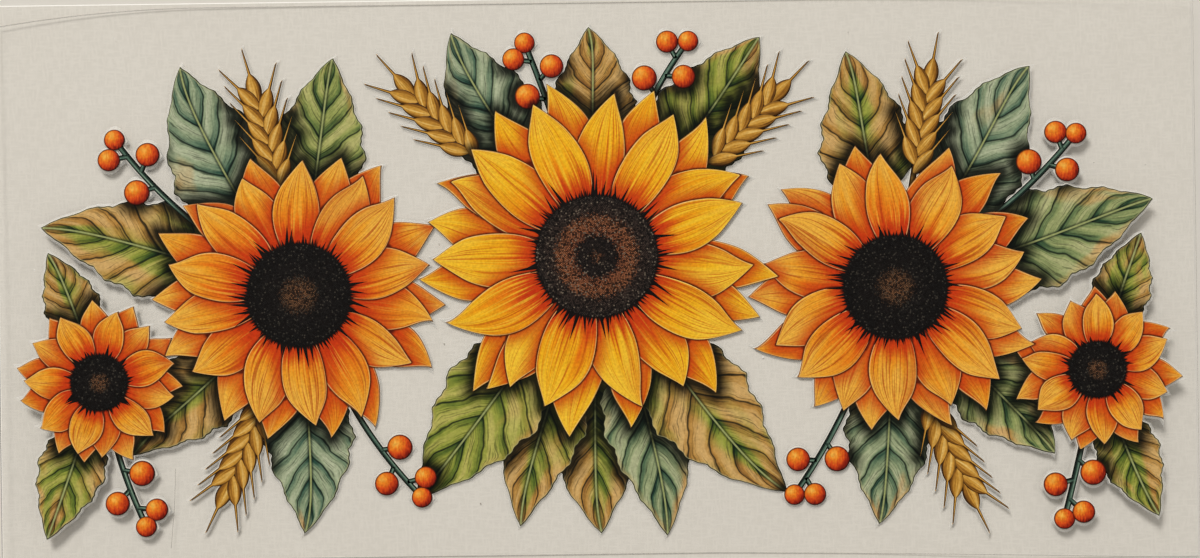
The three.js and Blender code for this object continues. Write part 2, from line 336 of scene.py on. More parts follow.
@dataclass(frozen=True)
class PlainFinish(Finish):
    """A finish that clouds gently from one colour to another, for a piece too narrow to show more."""

    colour: str  # its lighter colour
    cloud: str  # its darker colour
    roughness: float
    alpha: float = 1.0
    ior: float = 1.5
    gloss: float = 0.5  # how strongly it mirrors, 0.5 being what its index gives
    cloud_size: float = 1.4
    relief: float = 0.02

    def dress(self, tree: NodeTree, shader: Node) -> None:
        """Lays out its nodes.

        Args:
            tree: The material's tree.
            shader: Its Principled node.
        """
        place = add(tree, OBJECT_PLACE, {}, "Object")
        clouds = add(tree, NOISE, {"Vector": place, "Scale": 1 / (self.cloud_size * MM), "Detail": 2.0})
        cover = add(tree, RANGE, {0: clouds, 1: 0.35, 2: 0.65, 3: 0.0, 4: 1.0})
        tints = {0: cover, MIX_A: paint(self.colour), MIX_B: paint(self.cloud)}
        bump = {"Height": clouds, "Strength": 0.1, "Distance": self.relief * MM}
        looks = {
            "Base Color": add(tree, MIX, tints, MIX_RESULT, data_type="RGBA"),
            "Normal": add(tree, BUMP, bump),
            "Roughness": self.roughness,
            "Alpha": self.alpha,
            "IOR": self.ior,
            "Specular IOR Level": self.gloss,
        }
        connect(shader, looks)


INK_ROUGHNESS = 0.4
INK_GLOSS = 0.08  # the dark room above the sheet leaves its varnish little to mirror
INK_RELIEF = 0.06
DROPLET = 0.5  # the ink's droplets are about 0.05 mm across, drawn coarser so that their grain shows
DROPLET_DEPTH = 0.14


@dataclass(frozen=True)
class Marks:
    """The outputs that give what a printed mesh stores at each point."""

    share: NodeSocket  # the share of the way along its patch
    across: NodeSocket  # from -1 at the right side of the patch to 1 at the left
    edge: NodeSocket  # how far it is in from the patch's side
    middle: NodeSocket  # how far it is out from the middle line
    near: NodeSocket  # how far it is from a patch that lies over it
    tone: NodeSocket  # the number that tells the patch from its neighbours


@dataclass(frozen=True)
class Ink(Finish):
    """UV ink under varnish: its colour is broken up by the printer's droplets, and its gloss low."""

    def dress(self, tree: NodeTree, shader: Node) -> None:
        """Lays out its nodes.

        Args:
            tree: The material's tree.
            shader: Its Principled node.
        """
        names = [mark.name for mark in fields(Marks)]
        at = Marks(*(add(tree, ATTRIBUTE, {}, "Fac", attribute_name=name) for name in names))
        colour, relief = self.draw(tree, at)
        place = add(tree, OBJECT_PLACE, {}, "Object")
        droplets = add(tree, NOISE, {"Vector": place, "Scale": 1 / (DROPLET * MM), "Detail": 2.0})
        lightest, darkest = 1 + DROPLET_DEPTH, 1 - DROPLET_DEPTH
        density = add(tree, RANGE, {0: droplets, 1: 0.3, 2: 0.7, 3: darkest, 4: lightest})
        grained = {0: 1.0, MIX_A: colour, MIX_B: density}
        printed = add(tree, MIX, grained, MIX_RESULT, data_type="RGBA", blend_type="MULTIPLY")
        looks = {"Roughness": INK_ROUGHNESS, "Specular IOR Level": INK_GLOSS}
        connect(shader, {"Base Color": printed, **looks})
        if relief:
            bump = {"Height": relief, "Strength": 0.25, "Distance": INK_RELIEF * MM}
            connect(shader, {"Normal": add(tree, BUMP, bump)})

    def draw(self, tree: NodeTree, at: Marks) -> Drawn:
        """Gives its colour and relief, which each kind of ink says."""
        raise NotImplementedError


@dataclass(frozen=True)
class PetalInk(Ink):
    """Ink printed as a petal: streaks run from a dark root to a golden tip."""

    stops: Stops
    streak: str
    light: str
    rim: str
    fold: str
    root: str = "#2E0C07"
    flush: str = "#C2300F"
    line: str = "#6A220C"
    glow: str = "#C2360F"
    shadow: str = "#3E1007"
    ripeness: float = -1.0  # how far along its stops a petal's root starts

    def draw(self, tree: NodeTree, at: Marks) -> Drawn:
        """Lays out its colour and relief.

        Args:
            tree: The material's tree.
            at: What the mesh stores.

        Returns:
            The outputs with both.
        """
        place = add(tree, COMBINE, {0: at.share, 1: at.across, 2: at.tone})
        broad = streaks(tree, place, (1.6, 3.2, 40.0), 2.0)
        fine = streaks(tree, place, (1.2, 11.0, 70.0), 3.0)
        hair = streaks(tree, place, (1.5, 26.0, 90.0), 2.0)
        weights = ((at.share, 1.0), (broad, 0.95), (fine, 0.42), (hair, 0.2), (at.tone, 0.56))
        colour = add(tree, RAMP, {0: summed(tree, self.ripeness, *weights)}, stops=self.stops)
        centred = add(tree, MATH, {0: at.tone, 1: 0.5}, operation="SUBTRACT")
        fold = add(tree, MATH, {0: at.across, 1: centred}, operation="MULTIPLY")
        from_root = summed(tree, 0.0, (at.share, 2.1), (fine, -1.0))
        layers = (
            Layer(fold, 0.42, 0.06, 0.55, self.fold),
            Layer(hair, 0.62, 0.535, 0.62, self.streak),
            Layer(fine, 0.63, 0.555, 0.75, self.streak),
            Layer(fine, 0.37, 0.44, 0.6, self.light),
            Layer(from_root, -0.16, 0.34, 0.8, self.flush),
            Layer(summed(tree, at.near, (fine, 1.6)), 0.7, 4.6, 0.85, self.glow),
            Layer(summed(tree, at.edge, (broad, 0.4)), 0.32, 0.46, 0.6, self.rim),
            Layer(at.edge, 0.03, 0.11, 0.75, self.line),
            Layer(from_root, -0.38, -0.2, 0.95, self.root),
            Layer(at.near, 0.04, 0.5, 0.93, self.shadow),
        )
        return lay_over(tree, colour, layers), hair


@dataclass(frozen=True)
class LeafInk(Ink):
    """Ink printed as a leaf: fields shaded from vein to vein, and fine hatching."""

    name: str = "printed_leaf_ink"
    green: Stops = (
        *((0.0, "#0E1C12"), (0.2, "#2B4420"), (0.43, "#66752C")),
        *((0.7, "#969A40"), (1.0, "#B8AF5C")),
    )
    cool: Stops = (
        *((0.0, "#0F2420"), (0.25, "#2C4E44"), (0.48, "#627A66")),
        *((0.74, "#8F9E82"), (1.0, "#AEB79C")),
    )
    dry: Stops = ((0.0, "#3A2411"), (0.28, "#86542A"), (0.6, "#BC8442"), (1.0, "#D3A569"))
    vein: str = "#0B1512"
    midrib: str = "#A3A96C"
    rim: str = "#C2C08E"
    shadow: str = "#080A07"
    veins: float = 6.0
    vein_slant: float = -0.27

    def draw(self, tree: NodeTree, at: Marks) -> Drawn:
        """Lays out its colour and relief.

        Args:
            tree: The material's tree.
            at: What the mesh stores.

        Returns:
            The outputs with both.
        """
        place = add(tree, COMBINE, {0: at.share, 1: at.across, 2: at.tone})
        wave = streaks(tree, place, (3.5, 1.4, 37.0), 1.0)
        out = add(tree, MATH, {0: at.across}, operation="ABSOLUTE")
        terms = ((at.share, self.veins), (out, self.vein_slant * self.veins), (wave, 0.5))
        count = summed(tree, 0.0, *terms)
        field_share = add(tree, MATH, {0: count}, operation="FRACT")
        to_vein = add(tree, MATH, {0: count, 1: 0.5}, operation="PINGPONG")
        hatch_place = add(tree, COMBINE, {0: count, 1: at.across, 2: at.tone})
        hatch = streaks(tree, hatch_place, (7.0, 1.5, 51.0), 5.0)
        strokes = streaks(tree, hatch_place, (17.0, 2.0, 33.0), 2.0)
        cloud = streaks(tree, place, (1.8, 1.1, 23.0), 2.0)
        rising, falling = (
            add(tree, RANGE, {0: field_share, 1: a, 2: b, 3: 0.0, 4: c}, interpolation_type="SMOOTHSTEP")
            for a, b, c in ((0.0, 0.62, 0.5), (0.7, 1.0, -0.3))
        )
        by_rib = add(tree, RANGE, {0: at.middle, 1: 0.0, 2: 4.0, 3: -0.22, 4: 0.06})
        weights = ((rising, 1.0), (falling, 1.0), (by_rib, 1.0), (hatch, 0.75), (cloud, 0.5))
        light = summed(tree, -0.2, *weights)
        green, cool, dry = (
            add(tree, RAMP, {0: light}, stops=stops) for stops in (self.green, self.cool, self.dry)
        )
        dryness = summed(tree, 0.0, (cloud, 1.0), (out, 0.16), (at.share, 0.14), (at.tone, 0.3))
        layers = (
            Layer(at.tone, 0.26, 0.4, 0.85, cool),
            Layer(dryness, 0.98, 0.78, 0.85, dry),
            Layer(strokes, 0.36, 0.45, 0.55, self.vein),
            Layer(to_vein, 0.015, 0.075, 0.88, self.vein),
            Layer(at.middle, 0.3, 0.75, 0.7, self.vein),
            Layer(at.middle, 0.08, 0.24, 0.85, self.midrib),
            Layer(at.edge, 0.2, 0.36, 0.4, self.rim),
            Layer(at.edge, 0.06, 0.18, 0.85, self.vein),
            Layer(summed(tree, at.near, (hatch, 2.0)), 1.4, 5.2, 0.97, self.shadow),
        )
        return lay_over(tree, green, layers), hatch


@dataclass(frozen=True)
class StrokeInk(Ink):
    """Ink printed as a stem, a grain or an awn: a light stroke down the middle and dark sides."""

    stops: Stops
    line: str
    shadow: str = "#120D09"

    def draw(self, tree: NodeTree, at: Marks) -> Drawn:
        """Lays out its colour.

        Args:
            tree: The material's tree.
            at: What the mesh stores.

        Returns:
            The output with its colour, and no relief.
        """
        place = add(tree, COMBINE, {0: at.share, 1: at.across, 2: at.tone})
        fibres = streaks(tree, place, (2.5, 5.0, 60.0), 3.0)
        aside = add(tree, MATH, {0: at.across, 1: 0.25}, operation="SUBTRACT")
        out = add(tree, MATH, {0: aside}, operation="ABSOLUTE")
        light = summed(tree, 0.2, (fibres, 1.1), (out, -0.6))
        side = add(tree, MATH, {0: at.across}, operation="ABSOLUTE")
        layers = (
            Layer(side, 0.98, 0.7, 0.9, self.line),
            Layer(at.near, 0.1, 2.4, 0.93, self.shadow),
        )
        return lay_over(tree, add(tree, RAMP, {0: light}, stops=self.stops), layers), None


@dataclass(frozen=True)
class BerryInk(Ink):
    """Ink printed as a berry: a light spot towards the top left and a dark far side."""

    name: str = "printed_berry_ink"
    stops: Stops = (
        *((0.0, "#F0B048"), (0.25, "#E98423"), (0.55, "#D24A18")),
        *((0.8, "#8F200F"), (1.0, "#3A0F0A")),
    )
    line: str = "#220B08"
    spot: tuple[float, float, float] = (-0.32, 0.36, 0.0)

    def draw(self, tree: NodeTree, at: Marks) -> Drawn:
        """Lays out its colour.

        Args:
            tree: The material's tree.
            at: What the mesh stores.

        Returns:
            The output with its colour, and no relief.
        """
        place = add(tree, COMBINE, {0: at.share, 1: at.across, 2: 0.0})
        from_spot = add(tree, VECTOR, {0: place, 1: self.spot}, "Value", operation="DISTANCE")
        grain_place = add(tree, COMBINE, {0: at.share, 1: at.across, 2: at.tone})
        grain = streaks(tree, grain_place, (7.0, 2.2, 50.0), 3.0)
        shade = summed(tree, -0.3, (from_spot, 0.66), (grain, 0.6))
        out = add(tree, VECTOR, {0: place}, "Value", operation="LENGTH")
        layers = (
            Layer(out, 0.97, 0.84, 0.9, self.line),
            Layer(at.near, 0.1, 1.8, 0.93, self.line),
        )
        return lay_over(tree, add(tree, RAMP, {0: shade}, stops=self.stops), layers), None


@dataclass(frozen=True)
class SeedInk(Ink):
    """Ink stippled as seeds: nearly black, with a speckled brown ring and pale dots."""

    rings: Stops
    dark: str = "#0E0B0A"
    speck: str = "#776A5A"
    speck_share: float = 0.1

    def draw(self, tree: NodeTree, at: Marks) -> Drawn:
        """Lays out its colour.

        Args:
            tree: The material's tree.
            at: What the mesh stores.

        Returns:
            The output with its colour, and no relief.
        """
        stir = add(tree, MATH, {0: at.tone, 1: 7.31}, operation="MULTIPLY")
        stirred = add(tree, MATH, {0: stir}, operation="FRACT")
        ring = summed(tree, -0.05, (at.share, 1.0), (stirred, 0.1))
        layers = (
            Layer(at.tone, 0.0, 0.75, 0.85, self.dark),
            Layer(at.tone, 1.0, 1 - self.speck_share, 0.8, self.speck),
        )
        return lay_over(tree, add(tree, RAMP, {0: ring}, stops=self.rings), layers), None


# Warm yellow that reddens towards the root, so the middle bloom is the brightest thing here.
GOLDEN_PETALS = PetalInk(
    name="printed_golden_petal_ink",
    stops=(
        *((0.0, "#A62A0F"), (0.16, "#CE4514"), (0.32, "#E06E12")),
        *((0.5, "#EA9714"), (0.75, "#F0B41E"), (1.0, "#F2C034")),
    ),
    streak="#C2560F",
    light="#F5C634",
    rim="#F5D684",
    fold="#D06A14",
)
# A step redder and duller, so the smaller blooms stay behind the middle one.
ORANGE_PETALS = PetalInk(
    name="printed_orange_petal_ink",
    stops=(
        *((0.0, "#9A220F"), (0.18, "#C83A12"), (0.36, "#DB5A13")),
        *((0.56, "#E47C18"), (0.8, "#EB9E28"), (1.0, "#EDB142")),
    ),
    streak="#B04410",
    light="#F0AE38",
    rim="#F1C882",
    fold="#B84416",
    ripeness=-0.9,
)
# A brown ring in the black gives the large disc a soft, rough middle.
BROWN_RINGED_SEEDS = SeedInk(
    name="printed_brown_ringed_seed_ink",
    rings=(
        *((0.0, "#7A4E34"), (0.1, "#2A211D"), (0.33, "#241E1C"), (0.42, "#8A5236")),
        *((0.62, "#945C3C"), (0.72, "#40322B"), (1.0, "#2E2824")),
    ),
    speck_share=0.12,
)
# Almost all black, so the smaller discs show as dark buttons.
BLACK_SEEDS = SeedInk(
    name="printed_black_seed_ink",
    rings=((0.0, "#33241B"), (0.08, "#7A5236"), (0.26, "#634630"), (0.4, "#1E1B19"), (1.0, "#171615")),
    speck="#403B33",
    speck_share=0.14,
)
# Dry gold, which shines out between the dark leaves.
STRAW = StrokeInk(
    name="printed_straw_ink",
    stops=((0.0, "#4A2C10"), (0.3, "#94611F"), (0.6, "#C9933A"), (1.0, "#E9C678")),
    line="#38200C",
)
# Dark blue green, which nearly goes under among the leaves.
STALKS = StrokeInk(
    name="printed_stalk_ink",
    stops=((0.0, "#0B1210"), (0.4, "#1F2E26"), (0.68, "#55705F"), (1.0, "#A4B89C")),
    line="#10140F",
)
# Olive and grey green with dark veins, which sets off the warm petals.
LEAVES = LeafInk()
# A glowing spot on a dark red ball, so that the flat print looks round.
BERRIES = BerryInk()
# A full coat of black, so the bristles stand out hard against the petals.
DARK_GROUND = PlainFinish("printed_dark_ink", "#16110F", "#0E0B09", 0.4, gloss=INK_GLOSS)
# The white under the colours shows as a bright hairline round them.
WHITE_INK = PlainFinish("printed_white_ink", "#E2DCCF", "#DAD4C7", 0.5, gloss=0.2)
# Cast and polished, so it is nearly unseen. The low alpha thins its gloss, and a higher IOR mends that.
CLEAR_FILM = PlainFinish("clear_polyester_film", "#F3EFE7", "#F1EDE5", 0.12, alpha=0.03, ior=2.6)
# A grey painted on the film's cut edge: painted shade for the fine dark outline that a clear edge shows
# where it bends the light. The scratch is drawn in the same grey.
FILM_CUT_EDGE = PlainFinish("film_cut_edge", "#96907F", "#88827A", 0.3, alpha=0.3, ior=1.57)
# Near white on the liner's cut edge, a bright line round the liner: partly the paper's uncoated core,
# partly a painted highlight for the glint along the cut.
PAPER_CUT_EDGE = PlainFinish("paper_cut_edge", "#FCF9F3", "#F8F4EB", 0.8)
# Tiny bubbles, which show as pale dots: their near-white colour is a painted reflection, since trapped
# air has no colour of its own.
TRAPPED_AIR = PlainFinish("air_trapped_under_film", "#FCF9F3", "#F8F4EB", 0.2, alpha=0.6)
# Fibres and grit, which show as dull brown dots.
DUST = PlainFinish("dust_under_film", "#8E8273", "#7A6E60", 0.9, alpha=0.75)
# Jetted out past the colours, so a bright clear margin goes round each motif.
CLEAR_VARNISH = PlainFinish("clear_gloss_varnish", "#F5F1E8", "#F2EEE4", 0.3, alpha=0.16, ior=1.7)


# ---- Meshes ----


@dataclass
class Shape:
    """A closed mesh in the making."""

    points: Array  # in millimetres, over the flat film
    faces: Faces  # seen from outside
    values: Values = field(default_factory=dict)  # at each point, for the materials to read


def joined(shapes: Iterable[Shape]) -> Shape:
    """Puts several shapes with the same values into one.

    Args:
        shapes: The shapes.

    Returns:
        The one shape, whose parts stay separate closed shells.
    """
    shapes = list(shapes)
    faces: Faces = []
    start = 0
    for shape in shapes:
        faces.extend(tuple(i + start for i in face) for face in shape.faces)
        start += len(shape.points)
    values = {name: np.concatenate([s.values[name] for s in shapes]) for name in shapes[0].values}
    return Shape(np.concatenate([s.points for s in shapes]), faces, values)


def raised(flat: Array, heights: Array | float) -> Array:
    """Gives heights to a grid of points in plan."""
    return np.dstack([flat, np.broadcast_to(heights, flat.shape[:2])])


def shell(top: Array, low: Array, values: Values, pointed: bool = False, corner: int = 0) -> Shape:
    """Closes the space between two grids of points.

    Args:
        top: The upper points, as [row, column, xyz].
        low: The lower points, which may be those of the first and the last column alone.
        values: The values of the upper points, whose outer columns the lower points take.
        pointed: Whether the last row draws together in one point, its first.
        corner: The corner at which each lower face starts, which says how it is split in two.

    Returns:
        The closed shape.
    """
    split = top[..., 0].size
    upper = np.arange(split).reshape(top.shape[:2])
    lower = np.arange(split, split + low[..., 0].size).reshape(low.shape[:2])
    if pointed:
        upper[-1], lower[-1] = upper[-1, 0], lower[-1, 0]
    kept, number = np.unique(np.append(upper, lower), return_inverse=True)
    upper = number[:split].reshape(upper.shape).tolist()
    lower = number[split:].reshape(lower.shape).tolist()
    faces: Faces = [(*upper[0], *lower[0][::-1])]
    for here, ahead, under, under_ahead in zip(upper, upper[1:], lower, lower[1:]):
        faces += zip(here, ahead, ahead[1:], here[1:])
        lower_faces = zip(under, under[1:], under_ahead[1:], under_ahead)
        faces += (face[corner:] + face[:corner] for face in lower_faces)
        faces.append((here[0], under[0], under_ahead[0], ahead[0]))
        faces.append((here[-1], ahead[-1], under_ahead[-1], under[-1]))
    if not pointed:
        faces.append((*upper[-1][::-1], *lower[-1]))
    points = np.concatenate([top.reshape(-1, 3), low.reshape(-1, 3)])[kept]
    marks = {
        name: np.concatenate([grid.ravel(), grid[:, [0, -1]].ravel()])[kept]
        for name, grid in values.items()
    }
    return Shape(points, [tuple(dict.fromkeys(face)) for face in faces], marks)


def round_patch(radius: float, sides: int, rings: int, crown: float, bottom: float) -> Shape:
    """Builds a low round dome.

    Args:
        radius: Its radius.
        sides: How many sides it has.
        rings: How many rings of faces its top has.
        crown: How high its middle is.
        bottom: The height of its flat underside.

    Returns:
        The closed shape, with its rim at height 0. Share and across run from -1 to 1 over it.
    """
    angles = np.arange(sides) * 2 * np.pi / sides
    unit = np.column_stack([np.cos(angles), np.sin(angles)])
    steps = np.sin(np.linspace(np.pi / 2, 0, rings + 1))[:-1]
    tops = [np.column_stack([unit * radius * s, np.full(sides, crown * (1 - s**2))]) for s in steps]
    low = np.column_stack([unit * radius, np.full(sides, bottom)])
    points = np.concatenate([low, *tops, [[0.0, 0.0, crown]]])
    grid = np.arange((rings + 1) * sides).reshape(-1, sides)
    after = np.roll(grid, -1, axis=1)
    quads = np.stack([grid[:-1], after[:-1], after[1:], grid[1:]], -1).reshape(-1, 4)
    fan = np.column_stack([grid[-1], after[-1], np.full(sides, grid.size)])
    faces = [tuple(face) for face in (*quads.tolist(), *fan.tolist(), grid[0, ::-1].tolist())]
    return Shape(points, faces, {"share": points[:, 0] / radius, "across": points[:, 1] / radius})


def store(mesh: Mesh, values: Values) -> None:
    """Stores values on a mesh's points.

    Args:
        mesh: The mesh.
        values: A number for each point, by the value's name.
    """
    for name, numbers in values.items():
        attribute = mesh.attributes.new(name, "FLOAT", "POINT")
        attribute.data.foreach_set("value", numbers.astype(np.float32))


def mesh_of(
    name: str, shape: Shape, finish: Finish | None = None, edges: Iterable[tuple[int, int]] = ()
) -> Mesh:
    """Turns a shape into a mesh in metres, still over the flat film.

    Args:
        name: The mesh's name.
        shape: The shape.
        finish: What it is of, where it stays in the scene as it is.
        edges: Edges between its points, where it has no faces.

    Returns:
        The mesh, with the shape's values on its points.
    """
    mesh = bpy.data.meshes.new(name)
    mesh.from_pydata((shape.points * MM).tolist(), list(edges), shape.faces)
    store(mesh, shape.values)
    if finish:
        mesh.materials.append(finish.material())
    return mesh


def points_of(mesh: Mesh) -> Array:
    """Reads a mesh's points.

    Args:
        mesh: The mesh.

    Returns:
        The points in metres, one row each.
    """
    flat = np.zeros(len(mesh.vertices) * 3, np.float32)
    mesh.vertices.foreach_get("co", flat)
    return flat.reshape(-1, 3).astype(float)


def lift_with_film(mesh: Mesh, shift: tuple[float, float] = (0.0, 0.0)) -> None:
    """Raises a flat mesh so that it follows the curl of the film.

    Args:
        mesh: The mesh, over the flat film.
        shift: How far it is first moved in x and y.
    """
    points = points_of(mesh)
    points[:, :2] += np.array(shift) * MM
    points[:, 2] += film_lift(points / MM) * MM
    mesh.vertices.foreach_set("co", points.astype(np.float32).ravel())
    mesh.update()


def show(name: str, data: ID) -> Object:
    """Puts a mesh, a camera or a lamp into the scene.

    Args:
        name: The object's name.
        data: The mesh, or the camera's or the lamp's data.

    Returns:
        The object, at the origin.
    """
    shown = bpy.data.objects.new(name, data)
    bpy.context.scene.collection.objects.link(shown)
    return shown


def bake_down(piece: Object, modifier: Modifier) -> None:
    """Makes a modifier's result the piece's own plain mesh.

    Args:
        piece: The piece.
        modifier: Its modifier, which is then removed.
    """
    evaluated = piece.evaluated_get(bpy.context.evaluated_depsgraph_get())
    mesh = bpy.data.meshes.new_from_object(evaluated)
    piece.modifiers.remove(modifier)
    piece.data = mesh


class Slot(Enum):
    """The names of the material slots."""

    LINER = "liner_paper"
    FILM = "clear_film"
    WHITE = "white_ink"
    GOLDEN = "golden_ink"
    ORANGE = "orange_ink"
    DARK = "dark_ink"
    GREEN = "green_ink"
    STRAW = "straw_ink"
    BERRY = "berry_ink"


ROUND_OVER = math.radians(35)  # edges flatter than this are shaded smooth


def settle(piece: Object, node: str, round_over: float = ROUND_OVER) -> Object:
    """Finishes a piece of the sheet: shades it, lets it ride, and hides the CAD node it stands for.

    Args:
        piece: The piece, in its final shape.
        node: The CAD node.
        round_over: Edges flatter than this angle are shaded smooth.

    Returns:
        The piece.
    """
    piece.data.shade_smooth()
    piece.data.set_sharp_from_angle(angle=round_over)
    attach(piece, "root")
    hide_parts(node)
    log.info("%s: %d faces, for %s", piece.name, len(piece.data.polygons), node)
    return piece


# ---- Runs, blades and which lies over which ----

PATCH_ROWS = 44
LEAF_ROWS = 120  # enough for a leaf's teeth
DISC_ROWS = 60
TIP_SPREAD = 1.6  # a patch that is drawn wider grows this much more at its tip


@dataclass(frozen=True)
class Run:
    """The bent middle line that a petal, a leaf or a stem follows."""

    x: float
    y: float
    angle: float  # the way it sets off, in radians from +X
    length: float
    sway: float = 0.0  # how far its end drifts to the left, as a share of the length
    hook: float = 0.0  # how far its last part turns left on top of that, as a share of the length

    def at(self, share: Array | float, out: Array | float = 0.0) -> Array:
        """Finds points beside the line.

        Args:
            share: The shares of the way along.
            out: How far out to the left they are.

        Returns:
            The points, as rows of x, y.
        """
        ahead = np.multiply(share, self.length)
        bend = self.sway * np.power(share, 2) + self.hook * np.power(share, 7)
        aside = self.length * bend + out
        cos, sin = math.cos(self.angle), math.sin(self.angle)
        return np.stack([self.x + ahead * cos - aside * sin, self.y + ahead * sin + aside * cos], -1)

    def heading(self, share: float) -> float:
        """Returns the way the line goes a share of the way along, in radians."""
        return self.angle + math.atan(2 * self.sway * share)


@dataclass
class Blade:
    """One flat patch of ink round a run, such as a petal."""

    run: Run
    half: Sides
    level: float  # the height of its top, which also says what it lies over
    tone: float  # a number from 0 to 1 that tells it from its neighbours
    rows: int = PATCH_ROWS  # its steps along
    columns: int = 16  # its steps across
    blunt: bool = False  # whether it ends in an edge and not in a point
    edge_drop: float = 0.05  # how much lower its rounded edge is than its middle

    def plan(self, spread: float = 0.0) -> tuple[Array, Array, Array, Array]:
        """Works out the blade's points in plan.

        Args:
            spread: How much wider it is drawn all round.

        Returns:
            The shares along, the places across from -1 to 1, how far each point is out from the
            middle line, and the points as [row, column, xy].
        """
        shares = np.linspace(0, 1, self.rows + 1)
        across = np.sin(np.linspace(-np.pi / 2, np.pi / 2, self.columns + 1))
        right, left = self.half(shares)
        sides = np.where(across < 0, right[:, None], left[:, None]) + spread
        out = across * sides
        last = (shares == 0) | (shares == 1)
        longer = np.where(shares > 0.5, TIP_SPREAD, -1.0) * spread / self.run.length
        ends = shares + longer * last
        return shares, across, out, self.run.at(ends[:, None], out)

    def outline(self) -> Array:
        """Returns its outline, as rows of x, y."""
        flat = self.plan()[3]
        return np.concatenate([flat[:, 0], flat[::-1, -1]])

    def solid(self, bottom: float, spread: float = 0.0, skirt: float = 0.12) -> Shape:
        """Builds the patch as a closed shape.

        Args:
            bottom: The height of its underside.
            spread: How much wider it is drawn all round.
            skirt: How far its sides slope out on their way down.

        Returns:
            The shape, with its values for the materials.
        """
        shares, across, out, flat = self.plan(spread)
        foot = self.plan(spread + skirt)[3][:, [0, -1]]
        width = np.abs(out[:, [0, -1]]).mean(1)
        values = {
            "share": np.broadcast_to(shares[:, None], out.shape),
            "across": np.tile(across, (len(shares), 1)),
            "edge": (1 - np.abs(across)) * width[:, None],
            "middle": np.abs(out),
            "tone": np.full(out.shape, self.tone),
        }
        if not self.blunt:
            values["across"][-1] = 0.0
        heights = self.level - self.edge_drop * (np.abs(across) > 1 - 1e-6)
        return shell(raised(flat, heights), raised(foot, bottom), values, not self.blunt)


@dataclass
class Layering:
    """Knows every printed patch, and how near a point is to a patch that lies over it."""

    outlines: list[tuple[float, Array]]  # the level and the outline of each patch
    reach: float = 8.0  # distances are counted up to this
    pitch: float = 0.3  # how far apart the points are that an outline is measured to

    def near(self, level: float, points: Array) -> Array:
        """Measures how far points are from the patches over them.

        Args:
            level: The level of the patch that the points are on.
            points: The points, as rows of x, y.

        Returns:
            The distances, below 0 for a point that is covered.
        """
        low, high = points.min(0) - self.reach, points.max(0) + self.reach
        over = [
            outline
            for other, outline in self.outlines
            if other > level and np.all(outline.max(0) > low) and np.all(outline.min(0) < high)
        ]
        distance = np.full(len(points), self.reach)
        if not over:
            return distance
        marks = np.concatenate([self.dotted(outline) for outline in over])
        tree = kdtree.KDTree(len(marks))
        for i, (x, y) in enumerate(marks.tolist()):
            tree.insert((x, y, 0.0), i)
        tree.balance()
        for i, (x, y) in enumerate(points.tolist()):
            distance[i] = min(self.reach, tree.find((x, y, 0.0))[2])
        covered = np.any([self.inside(outline, points) for outline in over], axis=0)
        return np.where(covered, -distance, distance)

    def dotted(self, outline: Array) -> Array:
        """Cuts an outline into points no further apart than the pitch.

        Args:
            outline: The outline, as rows of x, y.

        Returns:
            The points along it.
        """
        after = np.roll(outline, -1, axis=0)
        steps = np.maximum(1, np.ceil(np.hypot(*(after - outline).T) / self.pitch)).astype(int)
        lines = [a + (b - a) * np.arange(n)[:, None] / n for a, b, n in zip(outline, after, steps)]
        return np.concatenate(lines)

    @staticmethod
    def inside(outline: Array, points: Array) -> Array:
        """Finds the points that an outline goes round.

        Args:
            outline: The outline, as rows of x, y.
            points: The points, as rows of x, y.

        Returns:
            True for each point inside it.
        """
        hit = np.zeros(len(points), bool)
        boxed = np.all((points > outline.min(0)) & (points < outline.max(0)), axis=1)
        if boxed.any():
            x, y = points[boxed].T[:, :, None]
            (x1, y1), (x2, y2) = outline.T, np.roll(outline, -1, axis=0).T
            crosses = (y1 > y) != (y2 > y)
            rise = np.where(y2 == y1, 1e-9, y2 - y1)
            hit[boxed] = (crosses & (x < x1 + (x2 - x1) * (y - y1) / rise)).sum(1) % 2 == 1
        return hit


# ---- Geometry Nodes ----


class Inlet(Enum):
    """The kinds of named input that a Geometry Nodes tree here can have."""

    NUMBER = "NodeSocketFloat"
    COUNT = "NodeSocketInt"
    OBJECT = "NodeSocketObject"
    MATERIAL = "NodeSocketMaterial"


class Grower:
    """A Geometry Nodes tree that repeats a small form by a rule."""

    def __init__(self, name: str, **inlets: Inlet) -> None:
        """Starts a tree with its named inputs, the last of them for the material.

        Args:
            name: The tree's name.
            **inlets: The kind of each other named input.
        """
        self.tree = bpy.data.node_groups.new(name, "GeometryNodeTree")
        sockets = self.tree.interface
        for way in ("INPUT", "OUTPUT"):
            sockets.new_socket(name="Geometry", in_out=way, socket_type="NodeSocketGeometry")
        self.identifiers = {
            inlet: sockets.new_socket(name=inlet, in_out="INPUT", socket_type=kind.value).identifier
            for inlet, kind in {**inlets, "Material": Inlet.MATERIAL}.items()
        }
        self.given = self.tree.nodes.new("NodeGroupInput").outputs

    def end(self, instances: NodeSocket) -> None:
        """Ends the tree: the instances become real, with the material that is given.

        Args:
            instances: The output with the instances.
        """
        real = add(self.tree, "GeometryNodeRealizeInstances", {0: instances})
        dressed = {"Geometry": real, "Material": self.given["Material"]}
        finished = add(self.tree, "GeometryNodeSetMaterial", dressed)
        add(self.tree, "NodeGroupOutput", {0: finished})

    def grow(self, name: str, base: Mesh, **values: object) -> Object:
        """Runs the tree on a mesh.

        Args:
            name: The new object's name.
            base: The mesh that the tree starts from.
            **values: The value of each named input.

        Returns:
            The object, with the result as its plain mesh.
        """
        piece = show(name, base)
        modifier = piece.modifiers.new("grown", "NODES")
        modifier.node_group = self.tree
        for inlet, value in values.items():
            modifier[self.identifiers[inlet]] = value
        bake_down(piece, modifier)
        return piece


DISC_INLETS = {
    "Radius": Inlet.NUMBER,
    "Count": Inlet.COUNT,
    "Level": Inlet.NUMBER,
    "Seed": Inlet.COUNT,
}


